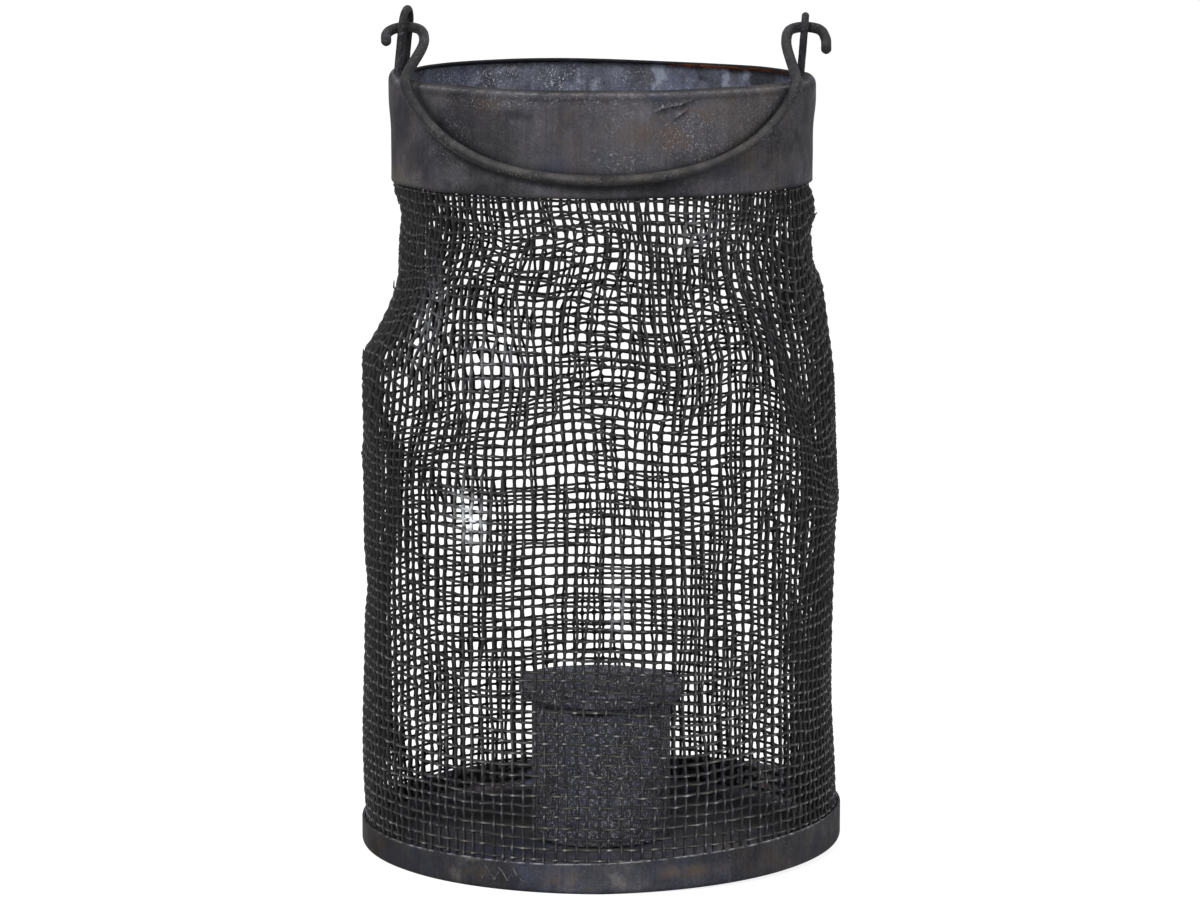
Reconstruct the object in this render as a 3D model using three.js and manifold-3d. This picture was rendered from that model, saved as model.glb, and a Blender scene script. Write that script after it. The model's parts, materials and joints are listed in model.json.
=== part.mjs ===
// Wire-mesh hurricane lantern. A pressed tray carries a candle socket and a dented sleeve of
// woven wire. A sheet collar closes the top of the sleeve, and a wire bail swings in its two eyes.
// Units are millimetres, +Z is up, -Y is the front, and the origin is the middle of the foot.
import * as THREE from "three";
import { mergeVertices } from "three/addons/utils/BufferGeometryUtils.js";
import Module from "manifold-3d";

const wasm = await Module();
wasm.setup();
const { degToRad, lerp, smoothstep } = THREE.MathUtils;

// Gap between pieces that are soldered or rest on each other
const clearance = 0.3;
// Facets of the large and the small round pieces
const wideSides = 48;
const slimSides = 32;
const wireSides = 8;

// Tray
const trayRadius = 69;
const trayRimHeight = 9;
const traySheet = 0.9;
const trayCornerRadius = 1.5;
const trayFootWidth = 7;
const trayFloorRise = 0.3;
const trayStepWidth = 2.5;

// Candle socket and the flared drip ring in its mouth
const socketRadius = 20;
const socketHeight = 40.6;
const socketSheet = 1;
const dripRadius = 23.7;
const dripHeight = 3.8;
const dripSheet = 1;
const dripSpigotDepth = 5;

// Collar
const bodyHeight = 220;
const collarRadius = 59.65;
const collarHeight = 29.5;
const collarSheet = 0.8;
const collarShoulderRadius = 3.4;

// Eyes: wire hairpins, each turned, leaned inwards, set in and set to its own height by hand
const eyeWire = 2.2;
const eyeBowRadius = 4.3;
const eyeLegDepth = 16;
const eyeRiseLeft = 14;
const eyeRiseRight = 12;
const eyeTurnLeft = -12;
const eyeTurnRight = -2.5;
const eyeLeanLeft = 6;
const eyeLeanRight = -4.5;
const eyeInsetLeft = 0;
const eyeInsetRight = 0.9;

// Bail, whose hooks turn on one axis through both eyes. It crosses the collar's shoulder at a saddle,
// runs round the front of the band and hangs lowest in the middle.
const bailWire = 3;
const pivotRise = 13.2;
const bailDrop = 24.2;
const bailStandOff = 0.7;
const bailStraightShare = 0.55;
const saddleAngle = 24;
const saddleInset = 1;
const saddleLift = 0.4;
const saddleRunAngle = 6;
const saddleFall = 3;
const hookReachLeft = 5.2;
const hookReachRight = 5.6;
const hookLengthLeft = 8.2;
const hookLengthRight = 12.6;
const hookRound = 1.5;
const crookReach = 5.4;
const crookLength = 8;
const bailSteps = 96;
const bailFrontPoints = 7;

// Woven sleeve. Warps run up, wefts run round, and the warps come in pairs so that the weave closes.
const meshWire = 1;
const warpPairs = 17;
const weftCount = 15;
const meshLap = 10;
const weftLap = 4;
const flareDropLeft = 25;
const flareDropRight = 6;
const flareLengthLeft = 28;
const flareLengthRight = 62;
const dentMargin = 6;
// Dents and swells beaten into the sleeve: where they lie, how deep and how wide they are
const dents = [
  { angle: 180, height: 182, depth: -0.9, width: 24, tall: 6 },
  { angle: 180, height: 160, depth: -1.5, width: 24, tall: 16 },
  { angle: 180, height: 149, depth: -1, width: 20, tall: 7 },
  { angle: 180, height: 134, depth: 0.9, width: 26, tall: 12 },
  { angle: 182, height: 75, depth: -0.9, width: 12, tall: 5 },
  { angle: 180, height: 30, depth: 0.8, width: 30, tall: 12 },
  { angle: 0, height: 180, depth: 1.4, width: 24, tall: 9 },
  { angle: 0, height: 156, depth: 0.8, width: 22, tall: 6 },
  { angle: 0, height: 130, depth: -0.9, width: 28, tall: 10 },
  { angle: 0, height: 66, depth: -1.2, width: 30, tall: 24 },
  { angle: 8, height: 44, depth: -0.9, width: 24, tall: 16 },
  { angle: -112, height: 152, depth: -4.2, width: 15, tall: 15 },
  { angle: -62, height: 162, depth: -2.6, width: 13, tall: 12 },
  { angle: -85, height: 118, depth: -1.8, width: 17, tall: 20 },
  { angle: 70, height: 150, depth: -3.4, width: 18, tall: 17 },
  { angle: 128, height: 112, depth: -2.2, width: 16, tall: 22 },
];

// Heights and radii that follow from the sizes above
const flat = Math.cos(Math.PI / wideSides);
const floorTop = trayFloorRise + traySheet;
const socketBase = floorTop + clearance;
const socketTop = socketBase + socketHeight;
const collarBottom = bodyHeight - collarHeight;
const pivotHeight = bodyHeight + pivotRise;
const weaveOffset = (meshWire + clearance) / 2;
const weaveDepth = weaveOffset + meshWire / 2;
const neckRadius = (collarRadius - collarSheet) * flat - clearance - weaveDepth;
const footRadius = (trayRadius - traySheet) * flat - clearance - weaveDepth;
const meshBottom = floorTop + clearance;
const meshTop = collarBottom + meshLap;
const warpCount = 2 * warpPairs;

const zinc = new THREE.MeshStandardMaterial({ color: 0x46464b, roughness: 0.55, metalness: 0.7 });
const bluedZinc = new THREE.MeshStandardMaterial({ color: 0x3c3e46, roughness: 0.6, metalness: 0.65 });
const iron = new THREE.MeshStandardMaterial({ color: 0x3a3a3c, roughness: 0.6, metalness: 0.75 });
const blackWire = new THREE.MeshStandardMaterial({ color: 0x2d2c2b, roughness: 0.65, metalness: 0.6 });

function piece(name, geometry, material) {
  const mesh = new THREE.Mesh(geometry, material);
  mesh.name = name;
  return mesh;
}

// A profile of radius and height, turned about the upright axis.
function turned(points, sides) {
  return new THREE.LatheGeometry(points, sides).rotateX(Math.PI / 2);
}

// A closed geometry as a solid that can be cut.
function solid(geometry) {
  const bare = new THREE.BufferGeometry();
  bare.setAttribute("position", geometry.getAttribute("position"));
  bare.setIndex(geometry.getIndex());
  const merged = mergeVertices(bare, 1e-4);
  return new wasm.Manifold(
    new wasm.Mesh({
      numProp: 3,
      vertProperties: new Float32Array(merged.getAttribute("position").array),
      triVerts: new Uint32Array(merged.getIndex().array),
    }),
  );
}

function geometryOf(cut) {
  const mesh = cut.getMesh();
  const geometry = new THREE.BufferGeometry();
  geometry.setAttribute("position", new THREE.BufferAttribute(new Float32Array(mesh.vertProperties), 3));
  geometry.setIndex(new THREE.BufferAttribute(new Uint32Array(mesh.triVerts), 1));
  return geometry;
}

// A round wire bent along a path. An arc gets two facets for each of its curve segments.
function bentWire(path, diameter, steps) {
  const section = new THREE.Shape();
  section.absarc(0, 0, diameter / 2, 0, 2 * Math.PI);
  return new THREE.ExtrudeGeometry(section, {
    extrudePath: path,
    steps,
    curveSegments: wireSides / 2,
    bevelEnabled: false,
  });
}

// Tray: a rim turned up round a raised floor, standing on a flat foot ring
function trayGeometry() {
  const corner = trayCornerRadius;
  const footOuter = trayRadius - corner;
  const footInner = footOuter - trayFootWidth;
  const floorEdge = footInner - trayStepWidth;
  const lip = traySheet / 2;
  const profile = new THREE.Path();
  profile.moveTo(0, trayFloorRise);
  profile.lineTo(floorEdge, trayFloorRise);
  profile.lineTo(footInner, 0);
  profile.lineTo(footOuter, 0);
  profile.absarc(footOuter, corner, corner, -Math.PI / 2, 0, false);
  profile.lineTo(trayRadius, trayRimHeight - lip);
  profile.absarc(trayRadius - lip, trayRimHeight - lip, lip, 0, Math.PI, false);
  profile.lineTo(trayRadius - traySheet, corner);
  profile.absarc(footOuter, corner, corner - traySheet, 0, -Math.PI / 2, true);
  profile.lineTo(footInner, traySheet);
  profile.lineTo(floorEdge, floorTop);
  profile.lineTo(0, floorTop);
  return turned(profile.getPoints(2), wideSides);
}

// Candle socket: a drawn can, open at the top
function socketGeometry() {
  const bore = socketRadius - socketSheet;
  const profile = new THREE.Path();
  profile.moveTo(0, socketBase);
  profile.lineTo(socketRadius, socketBase);
  profile.lineTo(socketRadius, socketTop);
  profile.lineTo(bore, socketTop);
  profile.lineTo(bore, socketBase + socketSheet);
  profile.lineTo(0, socketBase + socketSheet);
  return turned(profile.getPoints(1), slimSides);
}

// Drip ring: a flared lip that rests on the socket's mouth, with a spigot inside it
function dripRingGeometry() {
  const seat = socketTop + clearance;
  const spigot = (socketRadius - socketSheet) * Math.cos(Math.PI / slimSides) - clearance;
  const bore = spigot - dripSheet;
  const lipTop = seat + dripHeight;
  const lip = dripSheet / 2;
  const profile = new THREE.Path();
  profile.moveTo(bore, socketTop - dripSpigotDepth);
  profile.lineTo(spigot, socketTop - dripSpigotDepth);
  profile.lineTo(spigot, seat);
  profile.lineTo(socketRadius, seat);
  profile.quadraticCurveTo(socketRadius + dripSheet, lipTop - dripSheet, dripRadius, lipTop - dripSheet);
  profile.absarc(dripRadius - lip, lipTop - lip, lip, 0, Math.PI / 2, false);
  profile.quadraticCurveTo(socketRadius, lipTop, socketRadius - dripSheet, seat + dripSheet);
  profile.lineTo(bore, seat);
  profile.lineTo(bore, socketTop - dripSpigotDepth);
  return turned(profile.getPoints(3), slimSides);
}

// An eye stands where its outer leg just clears the inside of the collar, or is set in from there.
function eyeDistance(turn, inset) {
  const legRadius = (collarRadius - collarSheet) * flat - clearance - eyeWire / 2;
  const along = eyeBowRadius * Math.cos(degToRad(turn));
  const across = eyeBowRadius * Math.abs(Math.sin(degToRad(turn)));
  return Math.sqrt(legRadius ** 2 - along ** 2) - across - inset;
}

const leanSlope = (lean) => Math.tan(degToRad(lean));
const eyes = [
  {
    name: "eye_left",
    side: -1,
    rise: eyeRiseLeft,
    turn: eyeTurnLeft,
    lean: leanSlope(eyeLeanLeft),
    distance: eyeDistance(eyeTurnLeft, eyeInsetLeft),
    hookReach: hookReachLeft,
    hookLength: hookLengthLeft,
  },
  {
    name: "eye_right",
    side: 1,
    rise: eyeRiseRight,
    turn: eyeTurnRight,
    lean: leanSlope(eyeLeanRight),
    distance: eyeDistance(eyeTurnRight, eyeInsetRight),
    hookReach: hookReachRight,
    hookLength: hookLengthRight,
  },
];

// Hairpin standing on the collar's top edge: up one leg, round the bow and down the other. Above the
// edge it leans. Each leg takes two steps, one below the edge and one above it, and the bow the rest.
const hairpinSteps = 12;
class Hairpin extends THREE.Curve {
  constructor(rise, lean) {
    super();
    this.rise = rise;
    this.lean = lean;
  }
  getUtoTmapping(u) {
    return u;
  }
  getPoint(t, target = new THREE.Vector3()) {
    const fromEnd = hairpinSteps * Math.min(t, 1 - t);
    const side = t < 0.5 ? -1 : 1;
    if (fromEnd < 1) return target.set(0, side * eyeBowRadius, eyeLegDepth * (fromEnd - 1));
    if (fromEnd < 2) {
      const height = this.rise * (fromEnd - 1);
      return target.set(this.lean * height, side * eyeBowRadius, height);
    }
    const turn = (Math.PI * (hairpinSteps * t - 2)) / (hairpinSteps - 4);
    const height = this.rise + eyeBowRadius * Math.sin(turn);
    return target.set(this.lean * height, -eyeBowRadius * Math.cos(turn), height);
  }
}

function eyePiece(eye) {
  const path = new Hairpin(eye.rise, -eye.side * eye.lean);
  const wire = piece(eye.name, bentWire(path, eyeWire, hairpinSteps), iron);
  wire.position.set(eye.side * eye.distance, 0, bodyHeight);
  wire.rotation.z = degToRad(eye.turn);
  return wire;
}

// Collar: a sheet band whose top edge curls inwards, notched where the legs of the eyes pass
function collarGeometry() {
  const curl = collarShoulderRadius;
  const curlCentre = collarRadius - curl;
  const curlHeight = bodyHeight - curl;
  const inside = collarRadius - collarSheet;
  const profile = new THREE.Path();
  profile.moveTo(inside, collarBottom);
  profile.lineTo(collarRadius, collarBottom);
  profile.lineTo(collarRadius, curlHeight);
  profile.absarc(curlCentre, curlHeight, curl, 0, Math.PI / 2, false);
  profile.lineTo(curlCentre, bodyHeight - collarSheet);
  profile.absarc(curlCentre, curlHeight, curl - collarSheet, Math.PI / 2, 0, true);
  profile.lineTo(inside, collarBottom);
  let band = solid(turned(profile.getPoints(3), wideSides));
  for (const eye of eyes) {
    for (const end of [-1, 1]) {
      const turn = degToRad(eye.turn);
      const notch = new THREE.CylinderGeometry(
        eyeWire / 2 + clearance,
        eyeWire / 2 + clearance,
        2 * curl,
        2 * wireSides,
      );
      notch.rotateX(Math.PI / 2);
      notch.translate(
        eye.side * eye.distance - end * eyeBowRadius * Math.sin(turn),
        end * eyeBowRadius * Math.cos(turn),
        bodyHeight,
      );
      band = band.subtract(solid(notch));
    }
  }
  return geometryOf(band);
}

// One half of the bail's centre line, from the tip of the hook to the middle of the front
function bailHalf(eye) {
  const wireRadius = bailWire / 2;
  const toEye = eye.distance - eye.lean * pivotRise;
  // The saddle is where the wire crosses the collar's rounded shoulder.
  const saddleRadius = collarRadius - saddleInset;
  const reach = collarShoulderRadius + wireRadius + clearance + saddleLift;
  const beyondCurl = collarShoulderRadius - saddleInset;
  const saddleRise = Math.sqrt(reach ** 2 - beyondCurl ** 2) - collarShoulderRadius - pivotRise;
  const saddle = degToRad(saddleAngle);
  const forward = saddleRadius * Math.sin(saddle);
  const lean = new THREE.Vector3(0, -forward, saddleRise).normalize();
  const hook = (x, along) => new THREE.Vector3(x, 0, 0).addScaledVector(lean, along);
  const points = [
    hook(toEye + eye.hookReach, eye.hookLength),
    hook(toEye + eye.hookReach, eye.hookLength / 2),
    hook(toEye + eye.hookReach - hookRound, hookRound),
    hook(toEye, 0),
    hook(toEye - crookReach + hookRound, hookRound),
    hook(toEye - crookReach, crookLength),
    new THREE.Vector3(saddleRadius * Math.cos(saddle), -forward, saddleRise),
  ];
  // From the saddle the wire drops outside the band and runs round its front.
  const runRadius = collarRadius + wireRadius + clearance + bailStandOff;
  const lowest = -pivotRise - bailDrop;
  const highest = saddleRise - saddleFall;
  const runStart = saddle + degToRad(saddleRunAngle);
  for (let k = 0; k <= bailFrontPoints; k++) {
    const angle = lerp(runStart, Math.PI / 2, k / bailFrontPoints);
    const short = (1 - Math.sin(angle)) / (1 - Math.sin(runStart));
    const share = bailStraightShare * short + (1 - bailStraightShare) * short ** 2;
    const height = lerp(lowest, highest, share);
    points.push(new THREE.Vector3(runRadius * Math.cos(angle), -runRadius * Math.sin(angle), height));
  }
  return points;
}

function bailPiece() {
  const [left, right] = eyes.map((eye) => bailHalf(eye));
  const mirrored = left.map((p) => new THREE.Vector3(-p.x, p.y, p.z));
  const path = new THREE.CatmullRomCurve3([...mirrored, ...right.reverse().slice(1)], false, "centripetal");
  const bail = piece("bail", bentWire(path, bailWire, bailSteps), iron);
  bail.position.z = pivotHeight;
  return bail;
}

// Middle of the sleeve's wall: its radius at an angle round the axis and a height
function sleeveRadius(angle, height) {
  const right = (1 + Math.cos(angle)) / 2;
  const flareTop = collarBottom - lerp(flareDropLeft, flareDropRight, right);
  const flareLength = lerp(flareLengthLeft, flareLengthRight, right);
  const body = lerp(neckRadius, footRadius, smoothstep(flareTop - height, 0, flareLength));
  const fade =
    smoothstep(height, trayRimHeight, trayRimHeight + dentMargin) *
    (1 - smoothstep(height, collarBottom - dentMargin, collarBottom));
  let beaten = 0;
  for (const dent of dents) {
    const away = Math.atan2(Math.sin(angle - degToRad(dent.angle)), Math.cos(angle - degToRad(dent.angle)));
    const across = (away * footRadius) / dent.width;
    const along = (height - dent.height) / dent.tall;
    beaten += dent.depth * Math.exp(-(across ** 2 + along ** 2) / 2);
  }
  return body + fade * beaten;
}

// A point of the sleeve, set off its wall, with the wall's outward, round and upward directions
function sleeveFrame(angle, height, offset) {
  const at = (a, h) => {
    const radius = sleeveRadius(a, h);
    return new THREE.Vector3(radius * Math.cos(a), radius * Math.sin(a), h);
  };
  const small = 1e-3;
  const point = at(angle, height);
  const round = at(angle + small, height).sub(at(angle - small, height)).normalize();
  const up = at(angle, height + small).sub(at(angle, height - small)).normalize();
  const out = round.clone().cross(up).normalize();
  return { point: point.addScaledVector(out, offset), out, round, up };
}

// A square wire through a row of frames, as a ring or with two cut ends
function wovenWire(frames, sideways, ring) {
  const half = meshWire / 2;
  const corners = [[-1, -1], [1, -1], [1, 1], [-1, 1]];
  const positions = [];
  for (const frame of frames) {
    for (const [out, side] of corners) {
      const corner = frame.point.clone();
      corner.addScaledVector(frame.out, out * half).addScaledVector(frame[sideways], side * half);
      positions.push(corner.x, corner.y, corner.z);
    }
  }
  const index = [];
  const count = frames.length;
  for (let i = 0; i < (ring ? count : count - 1); i++) {
    for (let k = 0; k < 4; k++) {
      const [a, b] = [4 * i + k, 4 * i + ((k + 1) % 4)];
      const [c, d] = [4 * ((i + 1) % count) + k, 4 * ((i + 1) % count) + ((k + 1) % 4)];
      index.push(a, b, d, a, d, c);
    }
  }
  if (!ring) {
    const end = 4 * (count - 1);
    index.push(0, 2, 1, 0, 3, 2, end, end + 1, end + 2, end, end + 2, end + 3);
  }
  const geometry = new THREE.BufferGeometry();
  geometry.setAttribute("position", new THREE.Float32BufferAttribute(positions, 3));
  geometry.setIndex(index);
  return geometry;
}

const warpAngle = (i) => ((i + 0.5) * 2 * Math.PI) / warpCount;
const weftHeight = (j) => lerp(trayRimHeight - weftLap, collarBottom + weftLap, j / (weftCount - 1));
const weaveSide = (i, j) => ((i + j) % 2 ? 1 : -1);
const numbered = (name, k) => `${name}_${String(k + 1).padStart(2, "0")}`;

function warpPiece(i) {
  const angle = warpAngle(i);
  const frames = [sleeveFrame(angle, meshBottom, 0)];
  for (let j = 0; j < weftCount; j++) {
    frames.push(sleeveFrame(angle, weftHeight(j), weaveOffset * weaveSide(i, j)));
  }
  frames.push(sleeveFrame(angle, meshTop, 0));
  return piece(numbered("warp_wire", i), wovenWire(frames, "round", false), blackWire);
}

// Wefts are laid clockwise, so that their faces point outwards as those of the warps do.
function weftPiece(j) {
  const frames = [];
  for (let i = warpCount - 1; i >= 0; i--) {
    frames.push(sleeveFrame(warpAngle(i), weftHeight(j), -weaveOffset * weaveSide(i, j)));
  }
  return piece(numbered("weft_wire", j), wovenWire(frames, "up", true), blackWire);
}

const base = new THREE.Group();
base.add(piece("base_tray", trayGeometry(), bluedZinc));
base.add(piece("candle_socket", socketGeometry(), zinc));
base.add(piece("drip_ring", dripRingGeometry(), zinc));

const sleeve = new THREE.Group();
for (let i = 0; i < warpCount; i++) sleeve.add(warpPiece(i));
for (let j = 0; j < weftCount; j++) sleeve.add(weftPiece(j));

const top = new THREE.Group();
top.add(piece("collar", collarGeometry(), zinc));
for (const eye of eyes) top.add(eyePiece(eye));
top.add(bailPiece());

const lantern = new THREE.Group();
lantern.add(base, sleeve, top);

export default lantern;
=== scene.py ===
# Wire-mesh hurricane lantern: the looks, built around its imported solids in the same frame.
import json
import math

import bmesh
import bpy
import numpy as np
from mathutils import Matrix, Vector, noise


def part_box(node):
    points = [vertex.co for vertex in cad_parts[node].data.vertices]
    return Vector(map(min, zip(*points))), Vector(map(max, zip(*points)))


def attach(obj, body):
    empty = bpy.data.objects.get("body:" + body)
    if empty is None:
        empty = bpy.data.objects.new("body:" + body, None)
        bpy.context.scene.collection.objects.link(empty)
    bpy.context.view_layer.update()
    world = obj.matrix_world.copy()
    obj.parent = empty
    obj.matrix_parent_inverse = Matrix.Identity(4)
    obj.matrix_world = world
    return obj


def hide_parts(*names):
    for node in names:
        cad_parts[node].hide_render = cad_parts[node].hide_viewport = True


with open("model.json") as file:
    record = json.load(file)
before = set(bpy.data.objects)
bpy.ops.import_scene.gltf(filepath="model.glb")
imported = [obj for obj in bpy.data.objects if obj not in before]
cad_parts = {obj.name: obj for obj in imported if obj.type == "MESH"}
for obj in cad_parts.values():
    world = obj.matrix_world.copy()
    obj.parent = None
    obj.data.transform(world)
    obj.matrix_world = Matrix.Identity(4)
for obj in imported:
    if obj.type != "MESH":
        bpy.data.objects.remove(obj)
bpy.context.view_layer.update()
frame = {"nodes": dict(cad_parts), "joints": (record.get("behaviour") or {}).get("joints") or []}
mm = 0.001
warpNodes = sorted(name for name in frame["nodes"] if name.startswith("warp_wire"))
weftNodes = sorted(name for name in frame["nodes"] if name.startswith("weft_wire"))
trayLow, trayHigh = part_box("base_tray")
socketLow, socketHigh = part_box("candle_socket")
ringLow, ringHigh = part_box("drip_ring")
collarLow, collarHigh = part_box("collar")
pivot = Vector(frame["joints"][0]["pos_m"])
print("frame loaded:", len(frame["nodes"]), "nodes")

# camera, fitted to the ellipses of the tray and the collar
camera = {
    "place": (-0.0003, -1.330, 0.318),
    "pitch": 8.764,  # degrees below the horizon
    "focalPixels": 4726, "imagePixels": 1200,  # focal length and width of the image
    "sensor": 36,  # width in millimetres
}


def makeCamera():
    data = bpy.data.cameras.new("camera")
    data.sensor_width = camera["sensor"]
    data.lens = camera["sensor"] * camera["focalPixels"] / camera["imagePixels"]
    view = bpy.data.objects.new("camera", data)
    view.location = camera["place"]
    view.rotation_euler = (math.radians(90 - camera["pitch"]), 0, 0)
    bpy.context.collection.objects.link(view)
    bpy.context.scene.camera = view


# small helpers for meshes
def smoothStep(x, low, high):
    t = np.clip((x - low) / (high - low), 0, 1)
    return t * t * (3 - 2 * t)


# smooth noise round the upright axis; each level has other waves
def ringNoise(angle, waves, level):
    return noise.noise(Vector((math.cos(angle) * waves, math.sin(angle) * waves, level)))


def degreesFrom(angle, turn):
    return (math.degrees(angle) - turn + 180) % 360 - 180


def makePiece(name, verts, faces, material, creaseAngle=40):
    mesh = bpy.data.meshes.new(name)
    mesh.from_pydata(verts, [], faces)
    work = bmesh.new()
    work.from_mesh(mesh)
    bmesh.ops.remove_doubles(work, verts=work.verts, dist=1e-7)
    bmesh.ops.recalc_face_normals(work, faces=work.faces)
    work.to_mesh(mesh)
    work.free()
    for polygon in mesh.polygons:
        polygon.use_smooth = True
    mesh.set_sharp_from_angle(angle=math.radians(creaseAngle))
    mesh.materials.append(material)
    piece = bpy.data.objects.new(name, mesh)
    bpy.context.collection.objects.link(piece)
    return piece


def seat(piece, body, slot, *nodes):
    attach(piece, body)
    if nodes:
        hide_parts(*nodes)


# a value on each point of a piece, which its material reads by name
def paint(piece, label, value):
    values = [value(v.co, v.normal) for v in piece.data.vertices]
    piece.data.attributes.new(label, "FLOAT", "POINT").data.foreach_set("value", values)


def facesIn(co, normal):
    reach = max(math.hypot(co.x, co.y), 1e-6)
    return smoothStep(-(normal.x * co.x + normal.y * co.y) / reach, 0.1, 0.5)


# soft spots given as (turn in degrees, level, width, height in millimetres, amount)
def spotted(spots):
    def value(co, normal):
        angle, reach = math.atan2(co.y, co.x), math.hypot(co.x, co.y)
        most = 0.0
        for turn, level, width, tall, amount in spots:
            across = math.radians(degreesFrom(angle, turn)) * reach / (width * mm)
            along = (co.z - level * mm) / (tall * mm)
            most = max(most, amount * math.exp(-(across**2) - along**2))
        return most

    return value


# a profile of (radius, height) pairs turned about the upright axis, with a push for its dents and waves
def turnProfile(profile, sides, push):
    verts, faces = [], []
    count = len(profile)
    closed = profile[0][0] > 0
    for s in range(sides):
        angle = 2 * math.pi * s / sides
        for r, z in profile:
            outwards, upwards = push(angle, r, z)
            radius = r + outwards if r > 0 else 0.0
            verts.append((radius * math.cos(angle), radius * math.sin(angle), z + upwards))
    for s in range(sides):
        here, there = s * count, (s + 1) % sides * count
        for k in range(count if closed else count - 1):
            n = (k + 1) % count
            corners = [here + k, there + k, there + n, here + n]
            if profile[k][0] == 0:
                corners.remove(there + k)
            if profile[n][0] == 0:
                corners.remove(there + n)
            faces.append(corners)
    return verts, faces


def arcPoints(centre, radius, start, end, steps):
    turn = [math.radians(start + (end - start) * k / steps) for k in range(steps + 1)]
    return [(centre[0] + radius * math.cos(a), centre[1] + radius * math.sin(a)) for a in turn]


def linePoints(start, end, steps):
    return [
        (start[0] + (end[0] - start[0]) * k / steps, start[1] + (end[1] - start[1]) * k / steps)
        for k in range(1, steps)
    ]


# push and width of the rings that round the end of a wire, as shares of its radius
roundedEnd = ((0.62, 0.72), (0.95, 0.22))


# a round wire along a row of points, with its own radius at each point and rounded ends
def wireAlong(points, radii, sides):
    points = [Vector(p) for p in points]
    radii = list(radii)
    for end in (0, -1):
        outward = (points[end] - points[1 if end == 0 else -2]).normalized()
        tip, size = points[end].copy(), radii[end]
        for push, share in roundedEnd:
            place = 0 if end == 0 else len(points)
            points.insert(place, tip + outward * size * push)
            radii.insert(place, size * share)
    verts, side = [], None
    for k, p in enumerate(points):
        tangent = (points[min(k + 1, len(points) - 1)] - points[max(k - 1, 0)]).normalized()
        if side is None:
            side = tangent.orthogonal().normalized()
        side = (side - tangent * side.dot(tangent)).normalized()
        other = tangent.cross(side)
        for s in range(sides):
            a = 2 * math.pi * s / sides
            verts.append(p + (side * math.cos(a) + other * math.sin(a)) * radii[k])
    return verts, tubeFaces(np.arange(len(verts)).reshape(1, -1, sides), False)


# faces of tubes whose points are numbered by tube, ring and side; open tubes have their ends closed
def tubeFaces(index, endless):
    here, ahead = (index, np.roll(index, -1, 1)) if endless else (index[:, :-1], index[:, 1:])
    faces = np.stack([here, np.roll(here, -1, 2), np.roll(ahead, -1, 2), ahead], -1).reshape(-1, 4).tolist()
    return faces if endless else faces + index[:, 0, ::-1].tolist() + index[:, -1].tolist()


# radii along a wire that hammering has left uneven, and mostly thinner
def hammeredRadii(points, wire):
    half = wire["diameter"] / 2
    return [half * (1 + wire["hammer"] * (noise.noise(p * wire["grain"]) - 0.6)) for p in points]


# a smooth run through a few points, with more give where they lie far apart
def smoothRun(points, perSpan):
    points = [Vector(p) for p in points]
    ends = [2 * points[0] - points[1]] + points + [2 * points[-1] - points[-2]]
    run = []
    for k in range(1, len(ends) - 2):
        a, b, c, d = ends[k - 1 : k + 3]
        ab, bc, cd = ((q - p).length ** 0.5 for p, q in ((a, b), (b, c), (c, d)))
        leave = ((b - a) / ab - (c - a) / (ab + bc) + (c - b) / bc) * bc
        arrive = ((c - b) / bc - (d - b) / (bc + cd) + (d - c) / cd) * bc
        for s in range(perSpan):
            t = s / perSpan
            run.append(
                b * (2 * t**3 - 3 * t**2 + 1)
                + leave * (t**3 - 2 * t**2 + t)
                + c * (3 * t**2 - 2 * t**3)
                + arrive * (t**3 - t**2)
            )
    return run + [points[-1]]


# small helpers for shader nodes
def addNode(tree, kind, inputs=None, **settings):
    made = tree.nodes.new(kind)
    for key, value in settings.items():
        setattr(made, key, value)
    for key, value in (inputs or {}).items():
        if isinstance(value, bpy.types.NodeSocket):
            tree.links.new(value, made.inputs[key])
        else:
            made.inputs[key].default_value = value
    return made


# the tree that holds the first socket among some values
def treeOf(*values):
    return next(v.id_data for v in values if isinstance(v, bpy.types.NodeSocket))


def mathNode(operation, a, b=0.0):
    return addNode(treeOf(a, b), "ShaderNodeMath", {0: a, 1: b}, operation=operation).outputs[0]


def apart(a, b):
    return mathNode("ABSOLUTE", mathNode("SUBTRACT", a, b))


def times(*values):
    total = values[0]
    for value in values[1:]:
        total = mathNode("MULTIPLY", total, value)
    return total


def ranged(value, low, high, toLow=0.0, toHigh=1.0):
    inputs = {"Value": value, "From Min": low, "From Max": high, "To Min": toLow, "To Max": toHigh}
    return addNode(treeOf(value), "ShaderNodeMapRange", inputs).outputs["Result"]


def mixed(factor, a, b, blend="MIX"):
    tree = treeOf(factor, a, b)
    inputs = {0: factor, 6: a, 7: b}
    return addNode(tree, "ShaderNodeMix", inputs, data_type="RGBA", blend_type=blend).outputs[2]


def shaded(colour, level):
    grey = addNode(treeOf(level), "ShaderNodeCombineColor", {0: level, 1: level, 2: level}).outputs[0]
    return mixed(1.0, colour, grey, "MULTIPLY")


# a colour shaded by a mask, to a level of itself where the mask is full
def shadedBy(colour, mask, level):
    return shaded(colour, ranged(mask, 0.0, 1.0, 1.0, level))


def noiseMask(vector, scale, detail=4.0, roughness=0.55, distortion=0.0):
    inputs = {"Vector": vector, "Scale": scale, "Detail": detail, "Roughness": roughness}
    made = addNode(treeOf(vector), "ShaderNodeTexNoise", {**inputs, "Distortion": distortion})
    return made.outputs["Fac"]


def painted(tree, label):
    return addNode(tree, "ShaderNodeAttribute", attribute_name=label).outputs["Fac"]


def objectPoint(tree):
    return addNode(tree, "ShaderNodeTexCoord").outputs["Object"]


def objectAxes(tree):
    return addNode(tree, "ShaderNodeSeparateXYZ", {0: objectPoint(tree)}).outputs


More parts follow.
